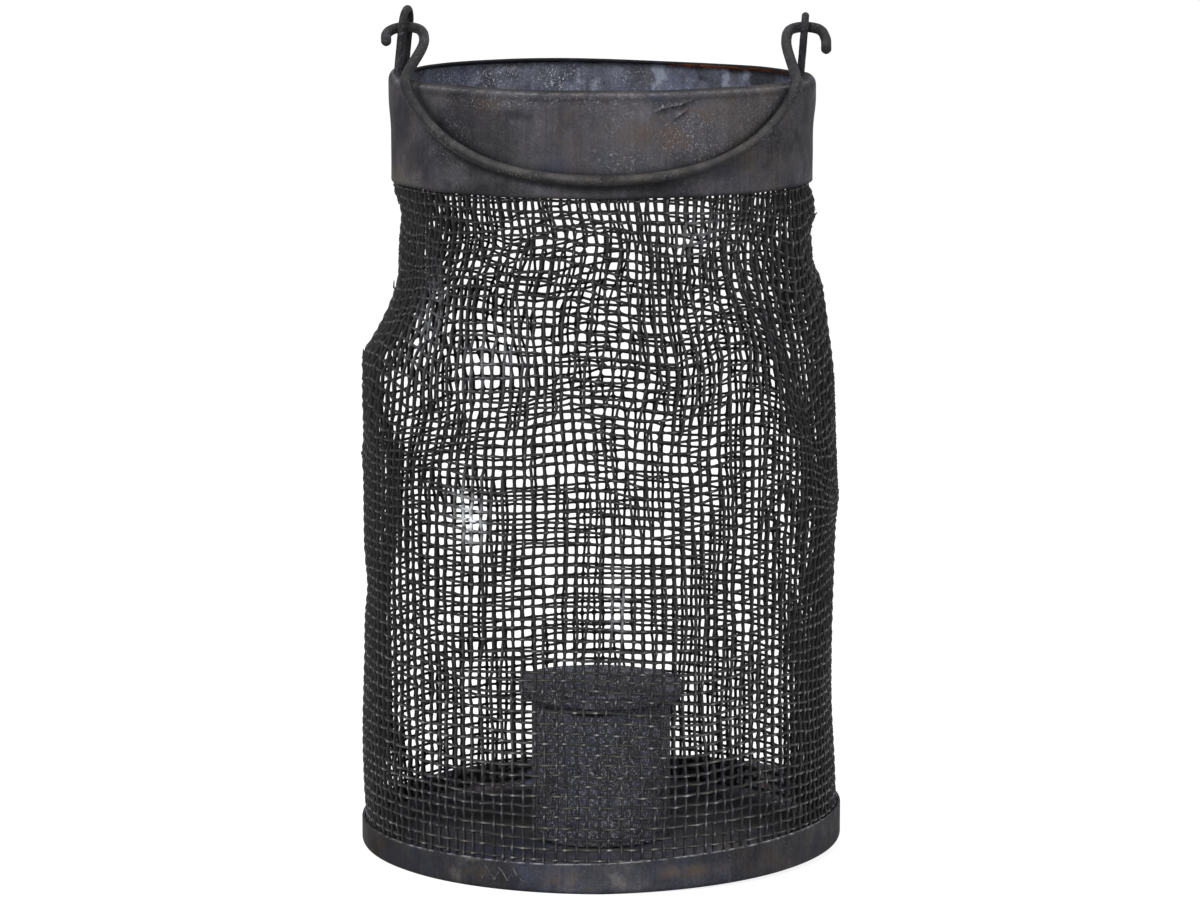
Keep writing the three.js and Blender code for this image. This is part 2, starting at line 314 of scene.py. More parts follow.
# a node group with the given inputs and the named outputs, of which Color is a colour
def newGroup(name, inputs, outputs):
    tree = bpy.data.node_groups.new(name, "ShaderNodeTree")
    for label, value in inputs.items():
        kind = "NodeSocketColor" if isinstance(value, tuple) else "NodeSocketFloat"
        tree.interface.new_socket(name=label, in_out="INPUT", socket_type=kind).default_value = value
    for label in outputs:
        kind = "NodeSocketColor" if label == "Color" else "NodeSocketFloat"
        tree.interface.new_socket(name=label, in_out="OUTPUT", socket_type=kind)
    return tree, tree.nodes.new("NodeGroupInput").outputs, tree.nodes.new("NodeGroupOutput").inputs


def putOut(result, **values):
    for label, value in values.items():
        treeOf(value).links.new(value, result[label])


def useGroup(tree, group, **values):
    return addNode(tree, "ShaderNodeGroup", values, node_tree=group).outputs


def newMaterial(name, specular):
    material = bpy.data.materials.new(name)
    material.use_nodes = True
    tree = material.node_tree
    shader = tree.nodes["Principled BSDF"]
    shader.inputs["Specular IOR Level"].default_value = specular
    return material, tree, shader


def dress(shader, colour, finish, distance):
    inputs = {"Height": finish["Height"], "Distance": distance}
    bump = addNode(treeOf(colour), "ShaderNodeBump", inputs).outputs["Normal"]
    putOut(shader.inputs, **{"Base Color": colour, "Roughness": finish["Rough"], "Normal": bump})


# patina of the sheet pieces: clouded dark metal with cool and brown patches, brush lines, pale oxide and
# curly light flecks
def makePatina():
    inputs = {
        "Dark": (0.03, 0.03, 0.033, 1), "Base": (0.09, 0.087, 0.095, 1), "Cool": (0.06, 0.065, 0.09, 1),
        "Brown": (0.10, 0.075, 0.055, 1), "Pale": (0.3, 0.31, 0.34, 1), "Cloud": 60.0, "Cooling": 0.5,
        "Browning": 0.6, "Oxide": 0.3, "Flecks": 0.5, "Fineness": 620.0, "Spread": 0.5, "Shift": 0.0,
    }
    tree, given, result = newGroup("zincPatina", inputs, ["Color", "Rough", "Height", "Curl"])
    places = {0: objectPoint(tree), 1: given["Shift"]}
    at = addNode(tree, "ShaderNodeVectorMath", places, operation="ADD").outputs[0]
    cloud = noiseMask(at, given["Cloud"], detail=6.0, roughness=0.62)
    colour = mixed(ranged(cloud, 0.32, 0.66), given["Dark"], given["Base"])
    # tone and amount of each kind of patch, the noise that shapes it and the range of noise at its edge
    patches = [
        ("Cool", "Cooling", (46.0, 6.0, 0.6, 0.5), (0.48, 0.64)),
        ("Brown", "Browning", (33.0, 7.0, 0.65, 0.7), (0.5, 0.66)),
        ("Pale", "Oxide", (190.0, 7.0, 0.7, 0.4), (0.56, 0.76)),
    ]
    for tone, amount, shape, edge in patches:
        patch = ranged(noiseMask(at, *shape), *edge)
        colour = mixed(times(patch, given[amount]), colour, given[tone])
    swirl = noiseMask(at, given["Fineness"], detail=2.0, roughness=0.55, distortion=1.2)
    dots = ranged(noiseMask(at, times(given["Fineness"], 3.0), detail=2.0), 0.5, 0.6)
    curl = times(ranged(apart(swirl, 0.5), 0.05, 0.012), dots)
    spread = mathNode("ADD", noiseMask(at, 70.0, detail=4.0), given["Spread"])
    fleck = times(curl, ranged(spread, 0.96, 1.14), given["Flecks"])
    colour = mixed(fleck, colour, given["Pale"])
    stretched = {0: at, 1: (1.0, 1.0, 0.05)}
    thin = addNode(tree, "ShaderNodeVectorMath", stretched, operation="MULTIPLY").outputs[0]
    brush = noiseMask(thin, 900.0, detail=3.0)
    grain = noiseMask(at, 1500.0, detail=3.0)
    colour = shaded(colour, ranged(brush, 0.3, 0.7, 0.86, 1.14))
    colour = shaded(colour, ranged(grain, 0.3, 0.7, 0.8, 1.2))
    rise = mathNode("ADD", cloud, times(grain, 0.35))
    putOut(
        result, Color=colour, Rough=ranged(cloud, 0.3, 0.7, 0.8, 0.55), Curl=curl,
        Height=mathNode("ADD", rise, times(fleck, 0.3)),
    )
    return tree


# a painted spot with a ragged edge
def makeRaggedSpot():
    tree, given, result = newGroup("raggedSpot", {"Amount": 0.0, "Scale": 200.0}, ["Mask"])
    rough = noiseMask(objectPoint(tree), given["Scale"], detail=7.0, roughness=0.68, distortion=0.3)
    reach = mathNode("ADD", times(rough, 1.5), given["Amount"])
    putOut(result, Mask=ranged(reach, 1.0, 1.3))
    return tree


# wear along a painted edge, broken up by noise
def makeEdgeWear():
    tree, given, result = newGroup("edgeWear", {"Near": 0.0, "Amount": 1.0}, ["Mask"])
    broken = ranged(noiseMask(objectPoint(tree), 520.0, detail=6.0, roughness=0.75), 0.44, 0.6)
    putOut(result, Mask=times(given["Near"], broken, given["Amount"]))
    return tree


# finish of drawn wire: dark, with a painted highlight along each wire, pale zinc specks with painted glints
# at the crossings, and chalky spots
def makeWireFinish():
    inputs = {
        "Dark": (0.0235, 0.0235, 0.025, 1), "Tint": (0.04, 0.036, 0.03, 1), "SpeckAndGlint": (0.46, 0.46, 0.5, 1),
        "Chalk": (0.93, 0.95, 1.0, 1), "Wear": 0.85,
    }
    tree, given, result = newGroup("wireFinish", inputs, ["Color", "Rough", "Height"])
    at = objectPoint(tree)
    blotch = noiseMask(at, 150.0, detail=5.0, roughness=0.65)
    tone = painted(tree, "tone")
    # painted highlight along the crest of each wire, broken by blotches
    rubbedAndLit = times(ranged(painted(tree, "crown"), 0.55, 1.0), ranged(blotch, 0.4, 0.58))
    colour = mixed(times(rubbedAndLit, tone), given["Dark"], given["Tint"])
    # pale zinc specks with painted glints on the tops of the crossings
    speck = ranged(noiseMask(at, 480.0, detail=4.0, roughness=0.7), 0.5, 0.57)
    wornAndLit = times(speck, ranged(painted(tree, "knot"), 0.4, 0.85), given["Wear"])
    wornAndLit = times(wornAndLit, ranged(tone, 0.1, 0.6, 0.4, 1.0))
    colour = mixed(wornAndLit, colour, given["SpeckAndGlint"])
    broken = ranged(noiseMask(at, 420.0, detail=5.0), 0.4, 0.54)
    colour = mixed(times(painted(tree, "chalk"), broken), colour, given["Chalk"])
    putOut(
        result, Color=colour, Rough=ranged(blotch, 0.3, 0.7, 0.6, 0.42),
        Height=noiseMask(at, 1800.0, detail=3.0),
    )
    return tree


patina = makePatina()
raggedSpot = makeRaggedSpot()
edgeWear = makeEdgeWear()
wireFinish = makeWireFinish()
print("node groups made")


def raggedMask(tree, label, scale):
    return useGroup(tree, raggedSpot, Amount=painted(tree, label), Scale=scale)["Mask"]


# a colour with ragged spots on it: the label, scale, amount and tone of each kind
def spottedColour(colour, spots):
    for label, scale, amount, tone in spots:
        colour = mixed(times(raggedMask(treeOf(colour), label, scale), amount), colour, tone)
    return colour


# tray: pressed sheet with a wavy turned-up rim
tray = {
    "sheet": 0.9 * mm, "corner": 1.5 * mm, "footWidth": 7 * mm, "floorRise": 0.3 * mm, "step": 2.5 * mm,
    "rimWidth": 9 * mm, "rimTop": 1.6 * mm, "sides": 256, "rimWave": 0.25 * mm, "lipWave": 0.3 * mm,
    "rightLift": 1.5 * mm, "rightLip": 1.6 * mm, "leftLip": -1.2 * mm,  # the rim is bent up at the right
    "scuffs": [
        (-125.8, 3.5, 3.5, 3, 0.5), (-122, 8, 3, 1.5, 0.5), (-86, 3.5, 5, 3, 0.42), (-97, 3, 3, 2, 0.35),
    ],
    "rust": [(-99, 4, 9, 4, 0.5), (-70, 6, 12, 3, 0.5), (-122, 4, 7, 4, 0.4), (-44, 4, 10, 4, 0.3)],
    "bluing": [(-144, 4, 14, 6, 0.6), (-108, 6, 8, 4, 0.4), (-80, 7, 9, 2, 0.4), (-30, 6, 12, 6, 0.4)],
    # painted light in paler patches at the front of the rim
    "litPatches": [(-92, 4.5, 26, 6, 0.75), (-68, 5, 16, 5, 0.5), (-118, 4, 12, 5, 0.35)],
    # painted shade towards the left and the right of the tray
    "sideShade": [(-165, 5, 36, 20, 0.42), (-12, 5, 30, 20, 0.28)],
    # across, deep, width and length in millimetres, and amount, of a spot of painted shade and a spot of
    # painted light on the floor
    "shadeSpot": (-30, 24, 24, 30, 0.85), "lightSpot": (38, -26, 24, 24, 0.6),
    # amount, start and end of the painted shade at the back, the painted light at the front and the painted
    # light on the inside of the back wall
    "backShade": (0.55, -10 * mm, 16 * mm), "frontLight": (0.55, 30 * mm, 56 * mm),
    "wallLight": (2.6, 64 * mm, 67 * mm),
    "wornRim": (0.35 * mm, 0.08 * mm), "wornFront": (10 * mm, 45 * mm),  # under the top, and forward
    "scratches": {
        "middle": -26.7 * mm, "reach": 6.8 * mm, "period": 3.8 * mm, "level": 4.8 * mm, "swing": 3.8 * mm,
        "bend": 3 * mm, "edge": (0.26 * mm, 0.1 * mm), "front": (-40 * mm, -50 * mm), "amount": 0.7,
    },
}


def pushTray(angle, r, z):
    rim = smoothStep(r, trayHigh.x - tray["rimWidth"], trayHigh.x - tray["corner"])
    lip = smoothStep(z, tray["corner"], trayHigh.z) * rim
    outwards = rim * tray["rimWave"] * (ringNoise(angle, 1.9, 4.0) - 1.0)
    upwards = lip * tray["lipWave"] * (ringNoise(angle, 2.6, 9.0) - 0.3)
    right, left = max(0.0, math.cos(angle)), max(0.0, -math.cos(angle))
    upwards += rim * tray["rightLift"] * right + lip * (tray["rightLip"] * right + tray["leftLip"] * left)
    return outwards, upwards


def makeTray():
    sheet, corner, radius = tray["sheet"], tray["corner"], trayHigh.x
    footOuter = radius - corner
    footInner = footOuter - tray["footWidth"]
    floorEdge = footInner - tray["step"]
    low, high = tray["floorRise"], tray["floorRise"] + sheet
    lip = sheet / 2
    profile = [(0.0, low), (floorEdge * 0.5, low), (floorEdge, low), (footInner, 0.0), (footOuter, 0.0)]
    profile += arcPoints((footOuter, corner), corner, -80, 0, 8)
    profile += linePoints((radius, corner), (radius, trayHigh.z - lip), 5)
    profile += arcPoints((radius - lip, trayHigh.z - lip), lip, 0, 180, 6)
    profile += linePoints((radius - sheet, trayHigh.z - lip), (radius - sheet, corner), 3)
    profile += arcPoints((footOuter, corner), corner - sheet, 0, -80, 6)
    profile += [(footOuter, sheet), (footInner, sheet), (floorEdge, high)]
    profile += linePoints((floorEdge, high), (0.0, high), 10) + [(0.0, high)]
    piece = makePiece("tray", *turnProfile(profile, tray["sides"], pushTray), trayZinc())
    paint(piece, "inside", insideTray)
    paint(piece, "rim", rimNearness)
    paint(piece, "floorLightAndShade", floorLightAndShade)
    for label in ("scuffs", "rust", "bluing", "litPatches", "sideShade"):
        paint(piece, label, spotted(tray[label]))
    seat(piece, "lantern", "tray_zinc", "base_tray")


# the inside of the wall, and the floor with the step round it
def insideTray(co, normal):
    onFloor = normal.z > 0.3 and math.hypot(co.x, co.y) < trayHigh.x - tray["rimTop"]
    return max(facesIn(co, normal), float(onFloor))


# painted shade on the floor at the back, most of all at the left, and painted light at the front and on the
# inside of the back wall
def floorLightAndShade(co, normal):
    def spot(x, y, wide, deep, amount):
        across, along = (co.x - x * mm) / (wide * mm), (co.y - y * mm) / (deep * mm)
        return amount * math.exp(-(across**2) - along**2)

    def grown(value, amount, start, end):
        return amount * smoothStep(value, start, end)

    dark = max(spot(*tray["shadeSpot"]), grown(co.y, *tray["backShade"]))
    pale = spot(*tray["lightSpot"]) + grown(-co.y, *tray["frontLight"])
    wall = grown(math.hypot(co.x, co.y), *tray["wallLight"]) if co.y > 0 else 0.0
    return 1 - dark + pale + wall


# how near a point is to the top of the rim, at the front
def rimNearness(co, normal):
    top = trayHigh.z + pushTray(math.atan2(co.y, co.x), trayHigh.x - tray["sheet"] / 2, trayHigh.z)[1]
    start, full = tray["wornRim"]
    return smoothStep(co.z, top - start, top - full) * smoothStep(-co.y, *tray["wornFront"])


def trayZinc():
    material, tree, shader = newMaterial("trayZinc", 0.05)
    finish = useGroup(tree, patina, Dark=(0.026, 0.026, 0.03, 1), Base=(0.064, 0.062, 0.068, 1),
                      Cool=(0.035, 0.039, 0.058, 1), Brown=(0.072, 0.055, 0.041, 1),
                      Pale=(0.24, 0.24, 0.25, 1), Cloud=60.0, Cooling=0.6, Browning=0.7, Oxide=0.2,
                      Flecks=0.4, Spread=0.45, Shift=3.1)
    colour = spottedColour(finish["Color"], [
        ("rust", 170.0, 0.6, (0.075, 0.055, 0.038, 1)),
        ("bluing", 170.0, 0.6, (0.034, 0.04, 0.062, 1)),
        ("scuffs", 170.0, 0.6, (0.17, 0.155, 0.14, 1)),
    ])
    # painted light in paler patches at the front
    colour = shadedBy(colour, raggedMask(tree, "litPatches", 90.0), 1.6)
    colour = mixed(trayScratches(tree), colour, (0.3, 0.29, 0.28, 1))
    wear = useGroup(tree, edgeWear, Near=painted(tree, "rim"), Amount=1.0)["Mask"]
    colour = mixed(wear, colour, (0.4, 0.4, 0.42, 1))
    floor = mixed(1.0, colour, (1.6, 1.62, 1.8, 1), "MULTIPLY")
    # painted light and shade on the floor
    floor = shaded(floor, painted(tree, "floorLightAndShade"))
    # painted shade towards the left and the right
    colour = shaded(colour, mathNode("SUBTRACT", 1.0, painted(tree, "sideShade")))
    colour = mixed(painted(tree, "inside"), colour, floor)
    dress(shader, colour, finish, 0.3 * mm)
    return material


# a few zigzag scratches on the front of the rim
def trayScratches(tree):
    lines = tray["scratches"]
    place = objectAxes(tree)
    bent = noiseMask(objectPoint(tree), 120.0)
    x = mathNode("ADD", place["X"], times(bent, lines["bend"]))
    turn = mathNode("FRACT", mathNode("DIVIDE", x, lines["period"]))
    low, swing = lines["level"] - lines["swing"] / 2, lines["swing"]
    # a long stroke down and a steep one up again
    down = mathNode("ADD", times(turn, -swing / 0.7), low + swing)
    up = mathNode("ADD", times(turn, 2 * swing), low - 1.4 * swing)
    line = ranged(apart(mathNode("MAXIMUM", down, up), place["Z"]), *lines["edge"])
    near = ranged(apart(place["X"], lines["middle"]), lines["reach"], lines["reach"] * 0.8)
    faint = ranged(noiseMask(objectPoint(tree), 500.0), 0.35, 0.6)
    return times(line, near, faint, ranged(place["Y"], *lines["front"]), lines["amount"])


# candle socket and drip ring: drawn sheet with a grainy, flecked finish
socket = {
    "sheet": 1 * mm, "sides": 120, "wave": 0.12 * mm, "edge": 0.3 * mm, "corner": 0.8 * mm,
    # the rows of points lie closer near the top, for the painted shade in the gap
    "fineTop": 5 * mm,  # the rows of points lie closer there, for the dark gap
    # painted shade in the gap under the drip ring, just under the ring and on both sides
    "darkAndShade": [
        (-105, 40.1, 4.5, 0.7, 1.3), (-92, 40.1, 4.5, 0.7, 1.3), (-80, 40.1, 3, 0.5, 0.8),
        (-145, 40.6, 3, 0.7, 0.9), (-90, 39.4, 60, 2, 0.25), (-160, 22, 8, 30, 0.2), (-20, 22, 8, 30, 0.05),
    ],
}
drip = {
    "sheet": 1 * mm, "gap": 0.3 * mm, "sides": 120, "wave": 0.18 * mm, "tilt": -0.35 * mm,
    "skirt": 1.1 * mm, "skirtGap": 0.02 * mm,  # how deep the wall laps over the socket, and the gap there
    "stepStart": 0.25 * mm, "steepness": 6,  # of the step from the socket out to the wall
    "mouthEdge": 0.5 * mm,
    # dark patches at the left, and a line of painted shade at the foot of the wall in front
    "darkAndShade": [(180, 45, 7, 4, 0.5), (-150, 44, 6, 3, 0.4), (-100, 41.4, 16, 0.4, 0.7)],
    "leastDark": 0.15,  # the whole ring is a little darker than the socket
}


def pushSocket(angle, r, z):
    return socket["wave"] * (ringNoise(angle, 1.4, z * 60) - 1.0), 0.0


def pushRing(angle, r, z):
    flare = smoothStep(r, socketHigh.x - 1 * mm, ringHigh.x)
    upwards = drip["wave"] * (ringNoise(angle, 2, 7.0) - 0.6) + drip["tilt"] * math.cos(angle)
    return -abs(drip["wave"] * ringNoise(angle, 1.5, 2.0)), flare * upwards


def makeSocket(material):
    radius, bore = socketHigh.x, socketHigh.x - socket["sheet"]
    low, high = socketLow.z, socketHigh.z
    edge, turn, fine = socket["edge"], socket["corner"], high - socket["fineTop"]
    profile = [(0.0, low), (radius - turn, low)] + arcPoints((radius - turn, low + turn), turn, -60, 0, 3)
    profile += linePoints((radius, low + turn), (radius, fine), 12)
    profile += linePoints((radius, fine), (radius, high - edge), 16)
    profile += [(radius, high - edge), (radius - edge, high), (bore + edge, high), (bore, high - edge)]
    profile += [(bore, low + socket["sheet"]), (0.0, low + socket["sheet"])]
    piece = makePiece("socket", *turnProfile(profile, socket["sides"], pushSocket), material)
    paint(piece, "darkAndShade", spotted(socket["darkAndShade"]))
    seat(piece, "lantern", "zinc_sheet", "candle_socket")


def makeRing(material):
    mouth, sheet = socketHigh.x, drip["sheet"]
    foot = socketHigh.z + drip["gap"]
    spigot = mouth - socket["sheet"] - drip["gap"]
    bore = spigot - sheet
    top, lip = ringHigh.z, sheet / 2
    reach = ringHigh.x - lip
    low, lap, start = foot - drip["skirt"], mouth + drip["skirtGap"], mouth + drip["stepStart"]
    profile = [(bore, ringLow.z), (spigot, ringLow.z), (spigot, foot), (lap, foot), (lap, low)]
    for k in range(13):
        t = k / 12
        across = (reach + lip * 0.9 - start) * (1 - (1 - t) ** drip["steepness"])
        profile.append((start + across, low + (top - sheet - low) * t))
    profile += arcPoints((reach, top - lip), lip, -70, 70, 5)
    inner, rise = bore + drip["mouthEdge"], foot + sheet
    for k in range(8, -1, -1):
        t = k / 8
        profile.append((inner + (reach - inner) * t**1.2, rise + (top - rise) * t**0.8))
    profile.append((bore, foot))
    piece = makePiece("dripRing", *turnProfile(profile, drip["sides"], pushRing), material)
    gap = spotted(drip["darkAndShade"])
    paint(piece, "darkAndShade", lambda co, n: max(drip["leastDark"], gap(co, n)))
    seat(piece, "lantern", "zinc_sheet", "drip_ring")


def socketZinc():
    material, tree, shader = newMaterial("socketZinc", 0.15)
    finish = useGroup(tree, patina, Dark=(0.034, 0.034, 0.042, 1), Base=(0.13, 0.13, 0.16, 1),
                      Cool=(0.115, 0.12, 0.18, 1), Brown=(0.085, 0.077, 0.074, 1),
                      Pale=(0.9, 0.9, 1.0, 1), Cloud=300.0, Cooling=0.6, Browning=0.3, Oxide=0.35,
                      Flecks=6.0, Fineness=620.0, Spread=0.9, Shift=7.7)
    # painted shade in the gap under the ring and at the sides of the socket, and dark patches on the ring
    colour = mixed(painted(tree, "darkAndShade"), finish["Color"], (0.008, 0.008, 0.009, 1))
    dress(shader, colour, finish, 0.35 * mm)
    return material


# collar: a sheet band with a curled-in top edge
collar = {
    "sheet": 0.8 * mm, "curl": 3.4 * mm, "edge": 0.2 * mm, "sides": 280, "wave": 0.3 * mm, "hammer": 0.1 * mm,
    "edgeWave": 0.35 * mm, "topBand": (9 * mm, 1 * mm), "footBand": 6 * mm,
    # how far the band swells over the legs of the eyes, how wide in degrees, and from where under its top
    "shoulder": 0.8 * mm, "shoulderWidth": 6.5, "shoulderBand": (16 * mm, 6 * mm),
    "shoulderRise": (2.1 * mm, 0.8 * mm),  # and how far it rises there, at the left and at the right
    "crease": {"turn": -70, "drop": 4.4 * mm, "depth": 0.9 * mm, "slope": 0.12, "length": 9, "width": 1.5},
    "rust": [
        (-122, 214.5, 5, 3, 0.6), (-63, 213, 9, 4, 0.5), (-76, 208, 14, 6, 0.5), (-100, 209, 12, 7, 0.35),
    ],
    "bluing": [
        (-103, 199, 6, 4, 0.55), (-78, 199.5, 5, 4, 0.5), (-130, 211, 10, 5, 0.6), (-142, 199, 10, 8, 0.45),
        (-76, 217.5, 4, 2, 0.6), (-55, 196, 16, 5, 0.35), (-100, 195, 30, 3, 0.35), (-163, 206, 16, 14, 0.6),
    ],
    "chalk": [
        (-66, 207, 9, 6, 0.9), (-61, 203, 8, 5, 0.8), (-72, 216, 6, 1.6, 0.9), (-106, 217, 24, 1.6, 0.7),
        (-125, 216, 14, 1.8, 0.8), (-135, 205, 8, 8, 0.5), (-85, 201, 8, 4, 0.5), (-40, 210, 14, 9, 0.5),
    ],
    "smears": [
        (73, 216, 2.6, 5, 0.62), (74, 212, 1.2, 5, 0.5), (52, 215, 1.8, 4, 0.55), (44, 217, 2, 3, 0.55),
    ],
    "specks": [(123, 216, 11, 4, 1.0), (103, 216, 8, 4, 1.0), (140, 216, 10, 4, 0.6)],
    "soot": [(37, 216, 7, 4, 1.0), (47, 218.5, 4, 2, 0.7), (60, 215, 5, 4, 0.3), (152, 216, 12, 6, 0.3)],
    # darker patches of patina, with painted shade towards the sides of the band and along its foot
    "shade": [
        (-128, 206, 18, 14, 0.8), (-150, 198, 14, 8, 0.7), (-36, 200, 14, 12, 0.5), (-80, 192, 40, 3.5, 0.5),
        (-118, 192, 30, 4, 0.6), (-168, 206, 22, 16, 0.7), (-14, 206, 22, 16, 0.55),
        (-116, 213, 10, 2.5, 0.6),
    ],
    # start, end and darkness of the painted shade of each fold line at the front, as (across, up) in
    # millimetres
    "folds": [((12.5, 213.4), (27, 217.2), 0.75), ((18.5, 210.8), (24.5, 215.4), 0.65)],
    "foldBend": 1.6 * mm, "foldFront": (-20 * mm, -30 * mm), "foldHighlight": 1.35,
    # heights between which the painted shade under a fold and the painted highlight above it grow and fade
    "foldShadeBand": (-1.8 * mm, -0.1 * mm, 0.25 * mm, 0.0),
    "foldHighlightBand": (0.1 * mm, 0.4 * mm, 1.1 * mm, 0.5 * mm),
    "rustLine": {
        "drop": 1.75 * mm, "bend": 0.8 * mm, "edge": (0.55 * mm, 0.25 * mm), "right": (18 * mm, 28 * mm),
        "back": (12 * mm, 30 * mm),
    },
    "shift": 0.35 * mm,  # of the whole band, to the right
    "lift": {"turn": 128, "width": 46, "rise": 1.0 * mm},  # the rim stands higher at the back left
    # angle round the curl and width, in degrees, of its crest, which has wear and a faint painted highlight,
    # and of the painted shade beside it, with amounts
    "crest": (46, 6), "paintedShade": [(78, 22, 0.6), (18, 14, 0.4)],
    # painted shade along the lower hem, and a painted shadow along the line of the bail
    "footShade": (0.3 * mm, 1.1 * mm, 0.6), "bailShadow": (2.1 * mm, 0.75),  # at the hem and along the bail
    # painted shade on the cut edge of the curl, at the front and at the back, and how far down it reaches
    "lipWidth": (0.5 * mm, 1.3 * mm), "lipDrop": 2 * mm,  # dark cut edge, at the front and at the back
}


def pushCollar(angle, r, z):
    def below(band):
        return smoothStep(z, collarHigh.z - band[0], collarHigh.z - band[1])

    top = below(collar["topBand"])
    bottom = 1 - smoothStep(z, collarLow.z, collarLow.z + collar["footBand"])
    outwards = collar["wave"] * (ringNoise(angle, 1.3, z * 30) - 0.6)
    outwards += collar["hammer"] * ringNoise(angle, 9, z * 150)
    c = math.cos(angle)
    sideways = math.degrees(math.atan2(abs(math.sin(angle)), abs(c)))
    shoulder = math.exp(-((sideways / collar["shoulderWidth"]) ** 2)) * below(collar["shoulderBand"])
    outwards += shoulder * collar["shoulder"]
    crease = collar["crease"]
    along = degreesFrom(angle, crease["turn"])
    line = (z - collarHigh.z + crease["drop"]) / mm - crease["slope"] * along
    outwards -= crease["depth"] * math.exp(-((along / crease["length"]) ** 2) - (line / crease["width"]) ** 2)
    waves = bottom * ringNoise(angle, 3, 1.0) + top * (ringNoise(angle, 2, 5.0) - 0.8)
    lift = collar["lift"]
    raised = lift["rise"] * math.exp(-((degreesFrom(angle, lift["turn"]) / lift["width"]) ** 4))
    raised += collar["shoulderRise"][0 if c < 0 else 1] * shoulder
    return outwards + collar["shift"] * c, collar["edgeWave"] * waves + top * raised


def makeCollar():
    curl, sheet = collar["curl"], collar["sheet"]
    radius, low, top = collarHigh.x, collarLow.z, collarHigh.z
    inside, edge = radius - sheet, collar["edge"]
    centre = (radius - curl, top - curl)
    profile = [(inside, low), (radius - edge, low), (radius, low + edge)]
    profile += linePoints((radius, low + edge), (radius, top - curl), 28)
    profile += arcPoints(centre, curl, 0, 88, 14)
    profile += [(centre[0] - 0.25 * mm, top - sheet * 0.5), (centre[0], top - sheet)]
    profile += arcPoints(centre, curl - sheet, 86, 0, 8)
    profile += linePoints((inside, top - curl), (inside, low), 22)
    piece = makePiece("collar", *turnProfile(profile, collar["sides"], pushCollar), collarZinc())
    paint(piece, "inside", facesIn)
    paint(piece, "lip", lipShade)
    paint(piece, "crest", lambda co, n: hemMark(co, *collar["crest"]))
    paint(piece, "paintedShade", collarPaintedShade)
    for label in ("rust", "bluing", "chalk", "smears", "specks", "soot", "shade"):
        paint(piece, label, spotted(collar[label]))
    seat(piece, "lantern", "zinc_sheet", "collar")


# where a point of the collar lies before its waves and dents
def unpushed(co):
    angle, reach = math.atan2(co.y, co.x), math.hypot(co.x, co.y)
    outwards, upwards = pushCollar(angle, reach, co.z)
    return reach - outwards, co.z - upwards


# a line along the outside of the curl, at an angle from 0 at the band to 90 at its top
def hemMark(co, turn, width):
    r, z = unpushed(co)
    curl = collar["curl"]
    across, along = r - (collarHigh.x - curl), z - (collarHigh.z - curl)
    if along < -1 * mm or math.hypot(across, along) < curl - collar["sheet"] / 2:
        return 0.0
    return math.exp(-(((math.degrees(math.atan2(along, across)) - turn) / width) ** 2))


# painted shade above and below the crest of the curl and along the lower edge, and a painted shadow where the
# bail lies
def collarPaintedShade(co, normal):
    start, end, amount = collar["footShade"]
    dark = amount * (1 - smoothStep(unpushed(co)[1], collarLow.z + start, collarLow.z + end))
    for turn, width, amount in collar["paintedShade"]:
        dark = max(dark, amount * hemMark(co, turn, width))
    if co.y < 0:
        width, amount = collar["bailShadow"]
        off = co.z - pivot.z - bailHeight(math.asin(-co.y / math.hypot(co.x, co.y)))
        dark = max(dark, amount * math.exp(-((off / width) ** 2)))
    return dark * (1 - facesIn(co, normal))


# painted shade on the cut edge of the curl, wider at the back
def lipShade(co, normal):
    reach = math.hypot(co.x, co.y) - (collarHigh.x - collar["curl"])
    wide = collar["lipWidth"][co.y > 0]
    return float(reach < wide and co.z > collarHigh.z - collar["lipDrop"])


